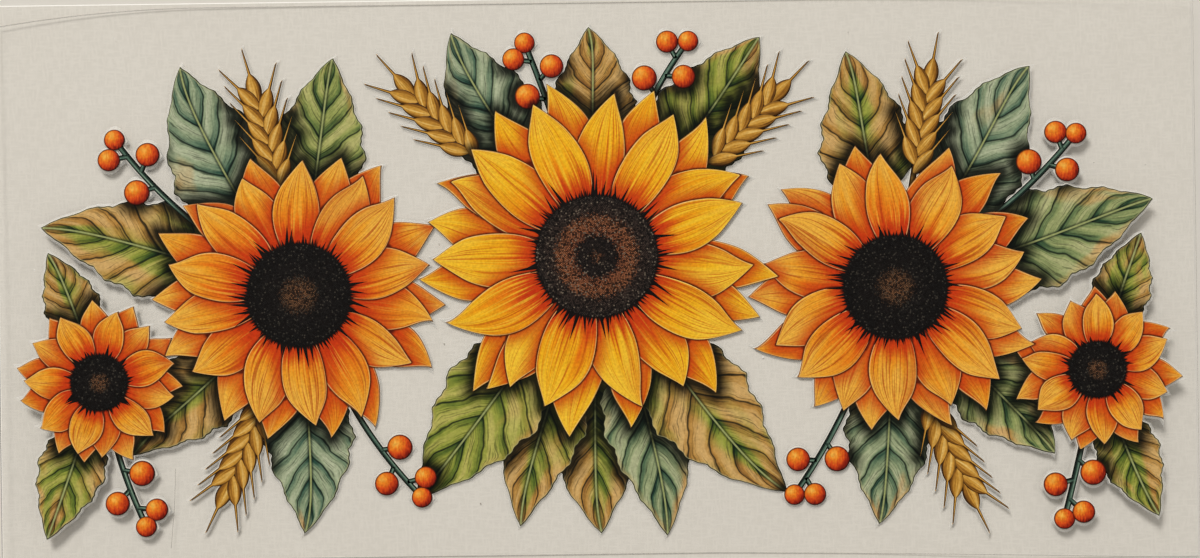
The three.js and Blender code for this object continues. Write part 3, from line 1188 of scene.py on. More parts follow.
@cache
def seed_grower() -> Grower:
    """Builds the tree that lays seeds in the two-way spiral of a flower's disc.

    Returns:
        The tree, the same one each time.
    """
    grower = Grower("seeds_in_a_spiral", Size=Inlet.NUMBER, **DISC_INLETS)
    tree, given = grower.tree, grower.given
    golden_angle = math.pi * (3 - math.sqrt(5))
    smallest, largest, flatness = 0.75, 1.2, 0.28  # as shares of a seed's size
    index = add(tree, "GeometryNodeInputIndex", {})
    angle = add(tree, MATH, {0: index, 1: golden_angle}, operation="MULTIPLY")
    middle = add(tree, MATH, {0: index, 1: 0.5}, operation="ADD")
    area = add(tree, MATH, {0: middle, 1: given["Count"]}, operation="DIVIDE")
    share = add(tree, MATH, {0: area}, operation="SQRT")
    distance = add(tree, MATH, {0: share, 1: given["Radius"]}, operation="MULTIPLY")
    cos, sin = (add(tree, MATH, {0: angle}, operation=way) for way in ("COSINE", "SINE"))
    x, y = (add(tree, MATH, {0: way, 1: distance}, operation="MULTIPLY") for way in (cos, sin))
    place = add(tree, COMBINE, {0: x, 1: y, 2: given["Level"]})
    points = add(tree, "GeometryNodePoints", {"Count": given["Count"], "Position": place})
    draw = {2: 0.0, 3: 1.0, "Seed": given["Seed"]}
    tone = add(tree, "FunctionNodeRandomValue", draw, 1, data_type="FLOAT")
    for name, value in (("share", share), ("tone", tone)):
        inputs = {"Geometry": points, "Name": name, "Value": value}
        points = add(tree, "GeometryNodeStoreNamedAttribute", inputs, data_type="FLOAT", domain="POINT")
    seed = add(tree, "GeometryNodeMeshIcoSphere", {"Radius": given["Size"], "Subdivisions": 1})
    width = add(tree, RANGE, {0: tone, 1: 0.0, 2: 1.0, 3: smallest, 4: largest})
    scale = add(tree, COMBINE, {0: width, 1: width, 2: flatness})
    grower.end(add(tree, INSTANCES, {"Points": points, "Instance": seed, "Scale": scale}))
    return grower


@cache
def fringe_grower() -> Grower:
    """Builds the tree that sets dark bristles round a disc's edge.

    Returns:
        The tree, the same one each time.
    """
    grower = Grower("bristles_round_a_disc", Length=Inlet.NUMBER, **DISC_INLETS)
    tree, given = grower.tree, grower.given
    round_disc = {"Vertices": given["Count"], "Radius": given["Radius"]}
    circle = add(tree, "GeometryNodeMeshCircle", round_disc)
    raise_by = add(tree, COMBINE, {0: 0.0, 1: 0.0, 2: given["Level"]})
    points = add(tree, "GeometryNodeMeshToPoints", {"Mesh": circle})
    placed = add(tree, "GeometryNodeSetPosition", {"Geometry": points, "Offset": raise_by})
    position = add(tree, "GeometryNodeInputPosition", {})
    outward = add(tree, VECTOR, {0: position, 1: (1.0, 1.0, 0.0)}, operation="MULTIPLY")
    align = "FunctionNodeAlignRotationToVector"
    facing = add(tree, align, {"Vector": outward}, axis="X", pivot_axis="Z")
    draw = {2: 0.0, 3: 1.0, "Seed": given["Seed"]}
    random = add(tree, "FunctionNodeRandomValue", draw, 1, data_type="FLOAT")
    stir = add(tree, MATH, {0: random, 1: 9.7}, operation="MULTIPLY")
    stirred = add(tree, MATH, {0: stir}, operation="FRACT")
    longer = add(tree, MATH, {0: random, 1: 2.6}, operation="POWER")
    lean, long, wide = (
        add(tree, RANGE, {0: value, 1: 0.0, 2: 1.0, 3: least, 4: most})
        for value, least, most in ((stirred, -0.3, 0.3), (longer, 0.2, 1.0), (longer, 0.8, 1.5))
    )
    leaning = add(tree, COMBINE, {0: 0.0, 1: 0.0, 2: lean})
    turn = add(tree, "FunctionNodeRotateRotation", {0: facing, 1: leaning}, rotation_space="LOCAL")
    length = add(tree, MATH, {0: long, 1: given["Length"]}, operation="MULTIPLY")
    sizes = {"Vertices": 8, "Radius Bottom": 0.3 * MM, "Depth": 1.0, "Radius Top": 0.0}
    cone = add(tree, "GeometryNodeMeshCone", sizes)
    flattened = {"Geometry": cone, "Rotation": (0.0, math.pi / 2, 0.0), "Scale": (0.1, 1.0, 1.0)}
    lain = add(tree, "GeometryNodeTransform", flattened)
    scale = add(tree, COMBINE, {0: length, 1: wide, 2: 1.0})
    inputs = {"Points": placed, "Instance": lain, "Rotation": turn, "Scale": scale}
    grower.end(add(tree, INSTANCES, inputs))
    return grower


@cache
def scatter_grower() -> Grower:
    """Builds the tree that sets a form on each point, turned and sized as the point says.

    Returns:
        The tree, the same one each time.
    """
    grower = Grower("form_on_each_point", Form=Inlet.OBJECT)
    tree, given = grower.tree, grower.given
    form = add(tree, "GeometryNodeObjectInfo", {"Object": given["Form"]}, "Geometry")
    points = add(tree, "GeometryNodeMeshToPoints", {"Mesh": given["Geometry"]})
    turn, size = (add(tree, NAMED_VALUE, {"Name": n}, data_type="FLOAT") for n in ("turn", "size"))
    rotation = add(tree, COMBINE, {0: 0.0, 1: 0.0, 2: turn})
    scale = add(tree, COMBINE, {0: size, 1: size, 2: 1.0})
    inputs = {"Points": points, "Instance": form, "Rotation": rotation, "Scale": scale}
    grower.end(add(tree, INSTANCES, inputs))
    return grower


@cache
def bead_grower() -> Grower:
    """Builds the tree that runs a round bead along a mesh's edges, as thick as each point says.

    Returns:
        The tree, the same one each time.
    """
    grower = Grower("bead_along_an_edge", Radius=Inlet.NUMBER)
    tree, given = grower.tree, grower.given
    path = add(tree, "GeometryNodeMeshToCurve", {"Mesh": given["Geometry"]})
    ring = {"Resolution": 8, "Radius": given["Radius"]}
    section = add(tree, "GeometryNodeCurvePrimitiveCircle", ring)
    girth = add(tree, NAMED_VALUE, {"Name": "girth"}, data_type="FLOAT")
    inputs = {"Curve": path, "Profile Curve": section, "Scale": girth, "Fill Caps": True}
    grower.end(add(tree, "GeometryNodeCurveToMesh", inputs))
    return grower


def scattered(name: str, form: Shape, places: Shape, finish: Finish) -> Object:
    """Sets a small form on each of several places.

    Args:
        name: The piece's name.
        form: The form.
        places: Points without faces, whose values are the turn and the size of each form.
        finish: What the forms are of.

    Returns:
        The piece, over the flat film.
    """
    pattern = show("pattern", mesh_of("pattern", form))
    given = {"Form": pattern, "Material": finish.material()}
    piece = scatter_grower().grow(name, mesh_of("places", places), **given)
    bpy.data.objects.remove(pattern)
    return piece


# ---- The sheets ----


@dataclass(frozen=True)
class Liner:
    """The release liner: a flat coated sheet with fresh cut edges."""

    cut: float = 0.16  # how far the cut edge slopes in, as the knife crushed it
    rounding: float = 0.05  # how far its upper rim is rounded over

    def build(self) -> Object:
        """Builds the liner from its CAD box.

        Returns:
            The liner.
        """
        low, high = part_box("release_liner")
        mesh = bpy.data.meshes.new("liner_sheet")
        near_top = high.z - 1e-6  # what is higher belongs to the upper rim
        flat_enough = 0.99  # a face whose normal is more upright than this is one of the broad faces
        made = bmesh.new()
        bmesh.ops.create_cube(made, size=1.0)
        for vertex in made.verts:
            vertex.co = [a + (c + 0.5) * (b - a) for a, b, c in zip(low, high, vertex.co)]
            if vertex.co.z > near_top:
                vertex.co.xy = [c - math.copysign(self.cut * MM, c) for c in vertex.co.xy]
        rims = [e for e in made.edges if min(v.co.z for v in e.verts) > near_top]
        bmesh.ops.bevel(made, geom=rims, offset=self.rounding * MM, segments=2, affect="EDGES")
        made.normal_update()
        for face in made.faces:
            face.material_index = 0 if abs(face.normal.z) > flat_enough else 1
        made.to_mesh(mesh)
        made.free()
        for finish in (LinerPaper(), PAPER_CUT_EDGE):
            mesh.materials.append(finish.material())
        # A smooth rim would tilt the light on the one big face, so all its edges stay sharp.
        return settle(show("liner_sheet", mesh), "release_liner", round_over=0.0)


@dataclass(frozen=True)
class Specks:
    """The few specks that the film holds down."""

    name: str
    seed: int
    count: int
    largest: float  # the radius of the largest
    finish: PlainFinish
    smallest: float = 0.08
    end_room: float = 6.0  # how far they keep from the film's ends
    near_room: float = 4.0  # and from its near and its far edge
    far_room: float = 6.0

    def build(self) -> Object:
        """Builds the specks as one piece.

        Returns:
            The piece.
        """
        draws = [[chance(self.seed + k, i) for k in range(3)] for i in range(self.count)]
        x, y, size = np.array(draws).T
        half = FILM_LENGTH / 2 - self.end_room
        near, far = FILM_EDGES[0] + self.near_room, FILM_EDGES[1] - self.far_room
        height = np.full(self.count, FILM_TOP)
        places = np.column_stack([(2 * x - 1) * half, near + y * (far - near), height])
        sizes = self.smallest + (self.largest - self.smallest) * size**3
        speck = round_patch(1.0, sides=10, rings=3, crown=0.02, bottom=-0.01)
        spots = Shape(places, [], {"size": sizes, "turn": 6 * x})
        piece = scattered(self.name, speck, spots, self.finish)
        lift_with_film(piece.data)
        return settle(piece, "clear_film")


@dataclass(frozen=True)
class Film:
    """The clear film, flat in the middle and curling up at both ends."""

    steps: int = 120  # how finely it is cut along its length
    steps_across: int = 4
    corner_depth: float = 3.4  # how far the far edge bows down to the left corner
    corner_run: float = 42.0
    drop_depth: float = 1.8  # how far the near edge falls away to the right
    drop_run: float = 95.0
    bead: float = 0.12  # the radius of the cut edge, which a knife leaves slightly swollen
    thin_bead: float = 0.4  # the share of that radius that is left at the right end
    scratch_line: tuple[tuple[float, float], ...] = ((-85.2, -36.5), (-85.5, -44.0), (-86.3, -52.5))
    scratch_half: float = 0.06
    specks: tuple[Specks, ...] = (
        Specks("trapped_air", 900, 60, 0.28, TRAPPED_AIR),
        Specks("dust_specks", 930, 14, 0.17, DUST),
    )

    def plan(self) -> Array:
        """Works out the film in plan.

        Returns:
            Its points, as [row, column, xy].
        """
        half = FILM_LENGTH / 2
        x = np.linspace(-half, half, self.steps + 1)
        dropped = np.clip((x - (half - self.drop_run)) / self.drop_run, 0, None)
        dipped = np.clip((self.corner_run - half - x) / self.corner_run, 0, None)
        near = (FILM_EDGES[0] - self.drop_depth * dropped)[:, None]
        far = (FILM_EDGES[1] - self.corner_depth * dipped**2)[:, None]
        y = near + (far - near) * np.linspace(0, 1, self.steps_across + 1)
        return np.dstack([np.broadcast_to(x[:, None], y.shape), y])

    def build(self) -> list[Object]:
        """Builds the film, its cut edge, its scratch and the specks under it.

        Returns:
            The pieces.
        """
        flat = self.plan()
        # Where the film curls, each lower face is split across the way that the upper one is.
        slab = shell(raised(flat, FILM_TOP), raised(flat, FILM_BOTTOM), {}, corner=1)
        mesh = mesh_of("film_sheet", slab, CLEAR_FILM)
        lift_with_film(mesh)
        sheet = settle(show("film_sheet", mesh), "clear_film")
        rim = np.concatenate([flat[:-1, 0], flat[-1, :-1], flat[:0:-1, -1], flat[0, :0:-1]])
        girth = np.interp(rim[:, 0], (-FILM_LENGTH / 2, FILM_LENGTH / 2), (1.0, self.thin_bead))
        ring = raised((rim - np.sign(rim) * self.bead)[None], (FILM_BOTTOM + FILM_TOP) / 2)[0]
        scratch = np.array([(*point, FILM_TOP) for point in self.scratch_line])
        return [
            sheet,
            self.beaded("film_cut_edge", ring, girth * self.bead, closed=True),
            self.beaded("film_scratch", scratch, np.full(len(scratch), self.scratch_half)),
            *(specks.build() for specks in self.specks),
        ]

    @staticmethod
    def beaded(name: str, line: Array, radii: Array, closed: bool = False) -> Object:
        """Runs a grey bead along a line; on the film's cut edge the grey is painted shade.

        Args:
            name: The piece's name.
            line: The line's points, over the flat film.
            radii: The bead's radius at each.
            closed: Whether its end meets its start.

        Returns:
            The bead.
        """
        steps = len(line) if closed else len(line) - 1
        edges = [(i, (i + 1) % len(line)) for i in range(steps)]
        path = mesh_of("bead_path", Shape(line, [], {"girth": radii / radii.max()}), edges=edges)
        given = {"Radius": float(radii.max()) * MM, "Material": FILM_CUT_EDGE.material()}
        piece = bead_grower().grow(name, path, **given)
        lift_with_film(piece.data)
        return settle(piece, "clear_film")


@dataclass(frozen=True)
class Bed:
    """A layer that lies under all the colours as one patch and shows as a thin rim round them."""

    name: str
    finish: PlainFinish
    slot: Slot
    top: float  # the height of its top
    rim: float  # how far it reaches out beyond the colours
    skirt: float  # its edge thins out over this width, so its upper side catches the light
    rows: int = 34  # how finely a petal's outline is followed
    curl_step: float = 2.5  # how finely it is cut where the film curls

    def build(self, blades: list[Blade]) -> Object:
        """Builds the bed.

        Args:
            blades: Every printed patch.

        Returns:
            The bed, as one closed body.
        """
        rest = bpy.data.collections.new("bed_patches")
        patches = []
        for blade in blades:
            # Leaves keep every row, for their teeth.
            rows = blade.rows if blade.rows == LEAF_ROWS else min(blade.rows, self.rows)
            flat = replace(blade, level=self.top, rows=rows, columns=2)
            mesh = mesh_of("bed_patch", flat.solid(WHITE_BOTTOM, self.rim, self.skirt))
            patches.append(bpy.data.objects.new(mesh.name, mesh))
        piece = show(self.name, patches[0].data)
        for patch in patches[1:]:
            rest.objects.link(patch)
        modifier = piece.modifiers.new("joined", "BOOLEAN")
        modifier.operation = "UNION"
        modifier.solver = "MANIFOLD"
        modifier.operand_type = "COLLECTION"
        modifier.collection = rest
        bake_down(piece, modifier)
        for patch in patches:
            bpy.data.objects.remove(patch)
        bpy.data.collections.remove(rest)
        self.cut_for_curl(piece.data)
        lift_with_film(piece.data)
        piece.data.materials.clear()
        piece.data.materials.append(self.finish.material())
        return settle(piece, "white_ink_base")

    def cut_for_curl(self, mesh: Mesh) -> None:
        """Cuts the bed's faces where the film curls, so that they can follow it.

        Args:
            mesh: The bed's mesh, over the flat film.
        """
        cut = bmesh.new()
        cut.from_mesh(mesh)
        for curl in CURLS:
            for x in np.arange(curl.start, curl.end, math.copysign(self.curl_step, curl.end)):
                geometry = [*cut.verts, *cut.edges, *cut.faces]
                bmesh.ops.bisect_plane(cut, geom=geometry, plane_co=(x * MM, 0, 0), plane_no=(1, 0, 0))
        cut.to_mesh(mesh)
        cut.free()


# ---- Outlines of the printed patches ----


def petal_sides(half: float, seed: int, index: int) -> Sides:
    """Gives the two sides of a petal, each with a slight wave of its own.

    Args:
        half: Its half width where it is widest.
        seed: The seed for its waves.
        index: Its number in its ring.

    Returns:
        A function from the shares along to the half widths of the right and the left side.
    """
    root, swell, taper = 0.51, 2.7, 0.9
    tip, tip_depth, tip_curve = 0.7, 0.3, 1.5  # where its tip starts, and how it narrows
    depth, turns = 0.07, 7.0  # of its waves
    phases = np.array([[2 * math.pi * chance(seed * 31 + side, index)] for side in range(2)])

    def width(share: Array) -> Array:
        """Returns the half width without its waves."""
        narrowing = 1 - tip_depth * np.clip((share - tip) / (1 - tip), 0, 1) ** tip_curve
        return half * (1 - share) ** taper * (root + swell * share) * narrowing

    return lambda share: width(share) * (1 + depth * np.sin(turns * share + phases) * share)


def leaf_sides(half: float, tone: float) -> Sides:
    """Gives the toothed sides of a leaf.

    Args:
        half: Its half width where it is widest.
        tone: The leaf's own number from 0 to 1, which moves its small teeth.

    Returns:
        A function from the shares along to the half widths of the right and the left side.
    """
    teeth, notch, crest, cut, swell = 5, 0.25, 0.85, 0.93, 1.06
    small_teeth, small_depth = 17, 0.012
    belly, fullness = 0.62, 0.85
    neck, neck_run = 0.6, 0.06  # the least half width, and the share along that keeps it
    marks = np.array([[(t + notch) / teeth, (t + crest) / teeth] for t in range(teeth)]).ravel()
    factors = np.tile([cut, swell], teeth)

    def toothed(share: Array) -> Array:
        """Returns how far the teeth widen or narrow the leaf."""
        small = 1 + small_depth * np.sin(2 * np.pi * (share * small_teeth + tone))
        return np.interp(share, marks, factors, left=1.0, right=1.0) * small

    def sides(share: Array) -> Array:
        """Returns the half widths, which end in a point."""
        width = half * np.sin(np.pi * share**belly) ** fullness * toothed(share)
        return np.tile(np.maximum(width, neck * (share < neck_run)) * (share < 1), (2, 1))

    return sides


def grain_sides(half: float, foot: float, neck: float, awn: float = 0.2) -> Sides:
    """Gives the sides of a grain that ends in an awn.

    Args:
        half: The grain's half width where it is widest.
        foot: Its half width at both ends.
        neck: The share along at which the awn starts.
        awn: The awn's half width where it starts.

    Returns:
        A function from the shares along to the half widths of the right and the left side.
    """
    fullness = 0.8

    def sides(share: Array) -> Array:
        """Returns the half widths, which end in the awn's point."""
        grain = foot + (half - foot) * np.sin(np.pi * np.clip(share / neck, 0, 1)) ** fullness
        return np.tile(np.where(share < neck, grain, awn * (1 - share) / (1 - neck)), (2, 1))

    return sides


def even_sides(half: float) -> Sides:
    """Gives the even sides of a stem of that half width."""
    return lambda share: np.full((2, len(share)), half)


def round_blade(x: float, y: float, radius: float, level: float, rows: int) -> Blade:
    """Gives a round patch, for the beds and the shadows.

    Args:
        x: The place of its middle.
        y: The same.
        radius: Its radius.
        level: The height of its top.
        rows: Its steps along.

    Returns:
        The patch.
    """

    def sides(share: Array) -> Array:
        """Returns the half widths, which follow a circle."""
        return np.tile(radius * np.sqrt(np.clip(1 - (2 * share - 1) ** 2, 0, 1)), (2, 1))

    run = Run(x - radius, y, 0.0, 2 * radius)
    return Blade(run, sides, level, tone=0.0, rows=rows, columns=2)


def painted(name: str, blades: list[Blade], layering: Layering, finish: Finish) -> Object:
    """Makes one object of several patches, with how near each point is to what lies over it.

    Args:
        name: The object's name.
        blades: The patches.
        layering: What lies over what.
        finish: Their ink.

    Returns:
        The object, lifted with the film.
    """
    shapes = []
    for blade in blades:
        shape = blade.solid(INK_BOTTOM)
        shape.values["near"] = layering.near(blade.level, shape.points[:, :2])
        shapes.append(shape)
    mesh = mesh_of(name, joined(shapes), finish)
    lift_with_film(mesh)
    return show(name, mesh)


# ---- The bloom heads ----


@dataclass(frozen=True)
class Head:
    """A bloom head: two rings of petals round a disc."""

    name: str  # the end of its CAD nodes' names
    reach: float  # how far its petals reach out
    petals: int  # how many a ring has
    seed: int  # for its petals' small differences
    level: float  # of its lowest petal
    petal_ink: PetalInk
    seed_ink: SeedInk
    slot: Slot  # for its petals
    petal_root: float = 0.8  # where its petals start, as a share of the disc's radius
    ring_reach: tuple[float, float] = (0.93, 0.84)  # of the back and the front ring
    ring_gap: float = 0.005  # how much higher the front ring lies than the petals' steps make it
    uneven: float = 0.07  # how much longer the longest petal is
    breadth: tuple[float, float] = (0.62, 0.12)  # the least of a petal, and how much more it can be
    jitter: float = 0.5  # how far petals stray, as a share of the space between two
    sway: float = 0.3  # how far a petal drifts aside, as a share of its length
    hook: float = 0.2  # how far its tip turns aside on top of that
    front_tone: float = 0.45  # how much more golden the front ring is printed than the back one
    crown: float = 0.03  # how much higher the disc's middle is than its rim
    seed_pitch: float = 0.31  # how far apart the disc's seeds are
    seed_room: float = 0.2  # how far they keep from its rim
    seed_rise: float = 0.02  # how much higher they lie than its rim
    bristles_per_mm: float = 1.5  # on the disc's edge
    bristle_length: float = 0.5  # the longest, as a share of the disc's radius
    bristle_room: float = 0.25  # how far in from the rim they are rooted
    bristle_drop: float = 0.01  # how much lower they lie than the rim
    bristle_seed: int = 20  # on top of the head's seed

    @property
    def disc(self) -> tuple[float, float, float]:
        """The place and the size of its disc, from the CAD node.

        Returns:
            The x and the y of its centre, and its radius.
        """
        low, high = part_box(f"disc_{self.name}")
        centre = (low + high) / 2
        return centre.x / MM, centre.y / MM, (high.x - low.x) / 2 / MM

    @property
    def disc_level(self) -> float:
        """The level of its disc's rim."""
        return self.level + 2 * (self.petals * LEVEL_STEP + self.ring_gap)

    def blades(self) -> list[Blade]:
        """Works out every petal.

        Returns:
            The petals, ring by ring.
        """
        x, y, radius = self.disc
        spacing = 2 * math.pi / self.petals
        start = radius * self.petal_root
        least, more = self.breadth
        made = []
        for ring, share_of_reach in enumerate(self.ring_reach):
            order = sorted(range(self.petals), key=lambda i: chance(self.seed * 7 + ring, i + 3))
            for index in range(self.petals):
                draw = [chance(self.seed * 100 + ring * 50 + k, index) for k in range(5)]
                angle = spacing * (index + 0.5 * ring + (draw[0] - 0.5) * self.jitter)
                reach = self.reach * share_of_reach * (1 + self.uneven * draw[1])
                half = self.reach * math.sin(spacing / 2) * (least + more * draw[2])
                root = (x + start * math.cos(angle), y + start * math.sin(angle))
                bends = ((draw[3] - 0.5) * self.sway, (draw[4] - 0.5) * self.hook)
                run = Run(*root, angle, reach - start, *bends)
                rank = ring * self.petals + order.index(index)
                level = self.level + rank * LEVEL_STEP + ring * self.ring_gap
                tone = (draw[4] + ring * self.front_tone) / (1 + self.front_tone)
                made.append(Blade(run, petal_sides(half, self.seed + ring, index), level, tone))
        return made

    def covered(self) -> list[Blade]:
        """Returns every patch that it covers: its petals, and its disc as a round patch."""
        return [*self.blades(), round_blade(*self.disc, self.disc_level, DISC_ROWS)]

    def build(self, layering: Layering) -> list[Object]:
        """Builds the petals, the disc's ground, its seeds and its bristles.

        Args:
            layering: What lies over what.

        Returns:
            The pieces.
        """
        petals = painted(f"petals_{self.name}_ink", self.blades(), layering, self.petal_ink)
        pieces = [settle(petals, f"petals_{self.name}")]
        for piece in (self.ground(), self.seeds(), self.bristles()):
            lift_with_film(piece.data, self.disc[:2])
            pieces.append(settle(piece, f"disc_{self.name}"))
        return pieces

    def ground(self) -> Object:
        """Builds the disc that the seeds stand on, round the origin.

        Returns:
            The disc's ground.
        """
        bottom = INK_BOTTOM - self.disc_level
        shape = round_patch(self.disc[2], sides=72, rings=8, crown=self.crown, bottom=bottom)
        shape.points[:, 2] += self.disc_level
        name = f"disc_{self.name}_ground"
        return show(name, mesh_of(name, shape, DARK_GROUND))

    def seeds(self) -> Object:
        """Builds the disc's seeds, round the origin.

        Returns:
            The seeds, as one piece.
        """
        radius = self.disc[2]
        return seed_grower().grow(
            f"disc_{self.name}_seeds",
            bpy.data.meshes.new("seed_base"),
            Radius=(radius - self.seed_room) * MM,
            Count=round(math.pi * radius**2 / self.seed_pitch**2),
            Size=self.seed_pitch / 2 * MM,
            Level=(self.disc_level + self.seed_rise) * MM,
            Seed=self.seed,
            Material=self.seed_ink.material(),
        )

    def bristles(self) -> Object:
        """Builds the dark bristles that reach out over the roots of the petals, round the origin.

        Returns:
            The bristles, as one piece.
        """
        radius = self.disc[2]
        return fringe_grower().grow(
            f"disc_{self.name}_bristles",
            bpy.data.meshes.new("bristle_base"),
            Radius=(radius - self.bristle_room) * MM,
            Count=round(2 * math.pi * radius * self.bristles_per_mm),
            Length=radius * self.bristle_length * MM,
            Level=(self.disc_level - self.bristle_drop) * MM,
            Seed=self.seed + self.bristle_seed,
            Material=DARK_GROUND.material(),
        )


# ---- What fans out from behind the heads ----


@dataclass(frozen=True)
class Spot:
    """Where one small form of a motif goes."""

    x: float
    y: float
    rise: float
    turn: float
    size: float


@dataclass(frozen=True)
class Motif:
    """A fanned motif in its place."""

    node: str  # its CAD node
    run: Run  # its middle line
    level: float  # of its top
    tone: float  # its own number from 0 to 1
    rise: float = 0.001  # how much higher each of its small forms lies than the one before
    top: float = 0.011  # the most that a small form lies over its level
    stem_half: float = 0.5  # its stem's half width

    def covered(self) -> list[Blade]:
        """Returns every patch that it covers, which each kind of motif says."""
        raise NotImplementedError

    def build(self, layering: Layering) -> list[Object]:
        """Builds its pieces, which each kind of motif says."""
        raise NotImplementedError

    def stem(self, length: float, sway: float) -> Blade:
        """Gives the stem that its small forms sit on.

        Args:
            length: Its length.
            sway: How far its end drifts to the left, as a share of the length.

        Returns:
            The stem.
        """
        run = replace(self.run, length=length, sway=sway)
        sides = even_sides(self.stem_half)
        return Blade(run, sides, self.level, self.tone, rows=30, columns=6, blunt=True)

    def small_forms(
        self, part: str, form: Shape, spots: list[Spot], ink: Ink, slot: Slot, layering: Layering
    ) -> Object:
        """Sets a small form on each spot, and measures how near it is to what lies over it.

        Args:
            part: What the forms are called.
            form: The form.
            spots: Where the forms go.
            ink: Their finish.
            slot: The slot of the finish. It is not used.
            layering: What lies over what.

        Returns:
            The finished piece.
        """
        values = {
            "turn": np.array([spot.turn for spot in spots]),
            "size": np.array([spot.size for spot in spots]),
            "tone": np.array([chance(self.tone * 50, i) for i in range(len(spots))]),
        }
        points = np.array([(spot.x, spot.y, spot.rise) for spot in spots])
        piece = scattered(f"{self.node}_{part}", form, Shape(points, [], values), ink)
        plan = points_of(piece.data)[:, :2] / MM
        store(piece.data, {"near": layering.near(self.level + self.top, plan)})
        lift_with_film(piece.data)
        return settle(piece, self.node)


@dataclass(frozen=True)
class Leaf(Motif):
    """A toothed leaf."""

    breadth: float = 0.6  # its width, as a share of its length
    hook: float = 0.12  # how far its tip turns aside, as a share of its length

    def covered(self) -> list[Blade]:
        """Works out its one blade.

        Returns:
            The blade, in a list.
        """
        sides = leaf_sides(self.run.length * self.breadth / 2, self.tone)
        hooked = replace(self.run, hook=self.hook * (self.tone - 0.5))
        return [Blade(hooked, sides, self.level, self.tone, rows=LEAF_ROWS, columns=24)]

    def build(self, layering: Layering) -> list[Object]:
        """Builds the leaf, which is its only piece."""
        piece = painted(f"{self.node}_ink", self.covered(), layering, LEAVES)
        return [settle(piece, self.node)]


@dataclass(frozen=True)
class Ear(Motif):
    """An ear of wheat: grains with awns in pairs up a stem."""

    pairs: int = 5
    grain: float = 5.8  # a grain's length
    grain_half: float = 1.45
    foot: float = 0.3  # a grain's half width at its foot
    pitch: float = 0.62  # from one pair to the next, as a share of a grain's length
    first: float = 0.35  # from the last grain to the first pair, as a share of that pitch
    splay: float = math.radians(30)  # how far a grain stands out from the stem
    awn: float = 5.5  # an awn's length

    @property
    def last(self) -> float:
        """The share of its run at which the last grain starts."""
        return 1 - (self.grain + self.awn) / self.run.length

    def spots(self) -> list[Spot]:
        """Works out where its grains go.

        Returns:
            The spots, from the tip down.
        """
        step = self.grain * self.pitch / self.run.length
        places = [(self.last, 0.0)]
        for i in range(self.pairs):
            share = self.last - step * (i + self.first)
            places += [(share, self.splay), (share - step / 2, -self.splay)]
        spots = []
        for i, (share, splay) in enumerate(places):
            x, y = self.run.at(share)
            turn = self.run.heading(share) + splay
            spots.append(Spot(float(x), float(y), self.rise * (i + 1), turn, 1.0))
        return spots

    def grain_blade(self, x: float = 0.0, y: float = 0.0, turn: float = 0.0, rise: float = 0.0) -> Blade:
        """Works out one grain with its awn.

        Args:
            x: Where it starts.
            y: The same.
            turn: The way it points, in radians.
            rise: How far it lies over the ear's level.

        Returns:
            The grain.
        """
        length = self.grain + self.awn
        sides = grain_sides(self.grain_half, self.foot, self.grain / length)
        run = Run(x, y, turn, length)
        return Blade(run, sides, self.level + rise, self.tone, rows=34, columns=8)

    def straw(self) -> Blade:
        """Gives the stem, which ends at the last grain."""
        return self.stem(self.run.length * self.last, self.run.sway * self.last)

    def covered(self) -> list[Blade]:
        """Returns every patch that it covers: the stem and the grains."""
        return [self.straw(), *(self.grain_blade(s.x, s.y, s.turn, s.rise) for s in self.spots())]

    def build(self, layering: Layering) -> list[Object]:
        """Builds the stem and the grains.

        Args:
            layering: What lies over what.

        Returns:
            The pieces.
        """
        stem = painted(f"{self.node}_stem", [self.straw()], layering, STRAW)
        form = self.grain_blade().solid(INK_BOTTOM)
        del form.values["tone"]  # each grain has the tone of its spot
        grains = self.small_forms("grains", form, self.spots(), STRAW, Slot.STRAW, layering)
        return [settle(stem, self.node), grains]


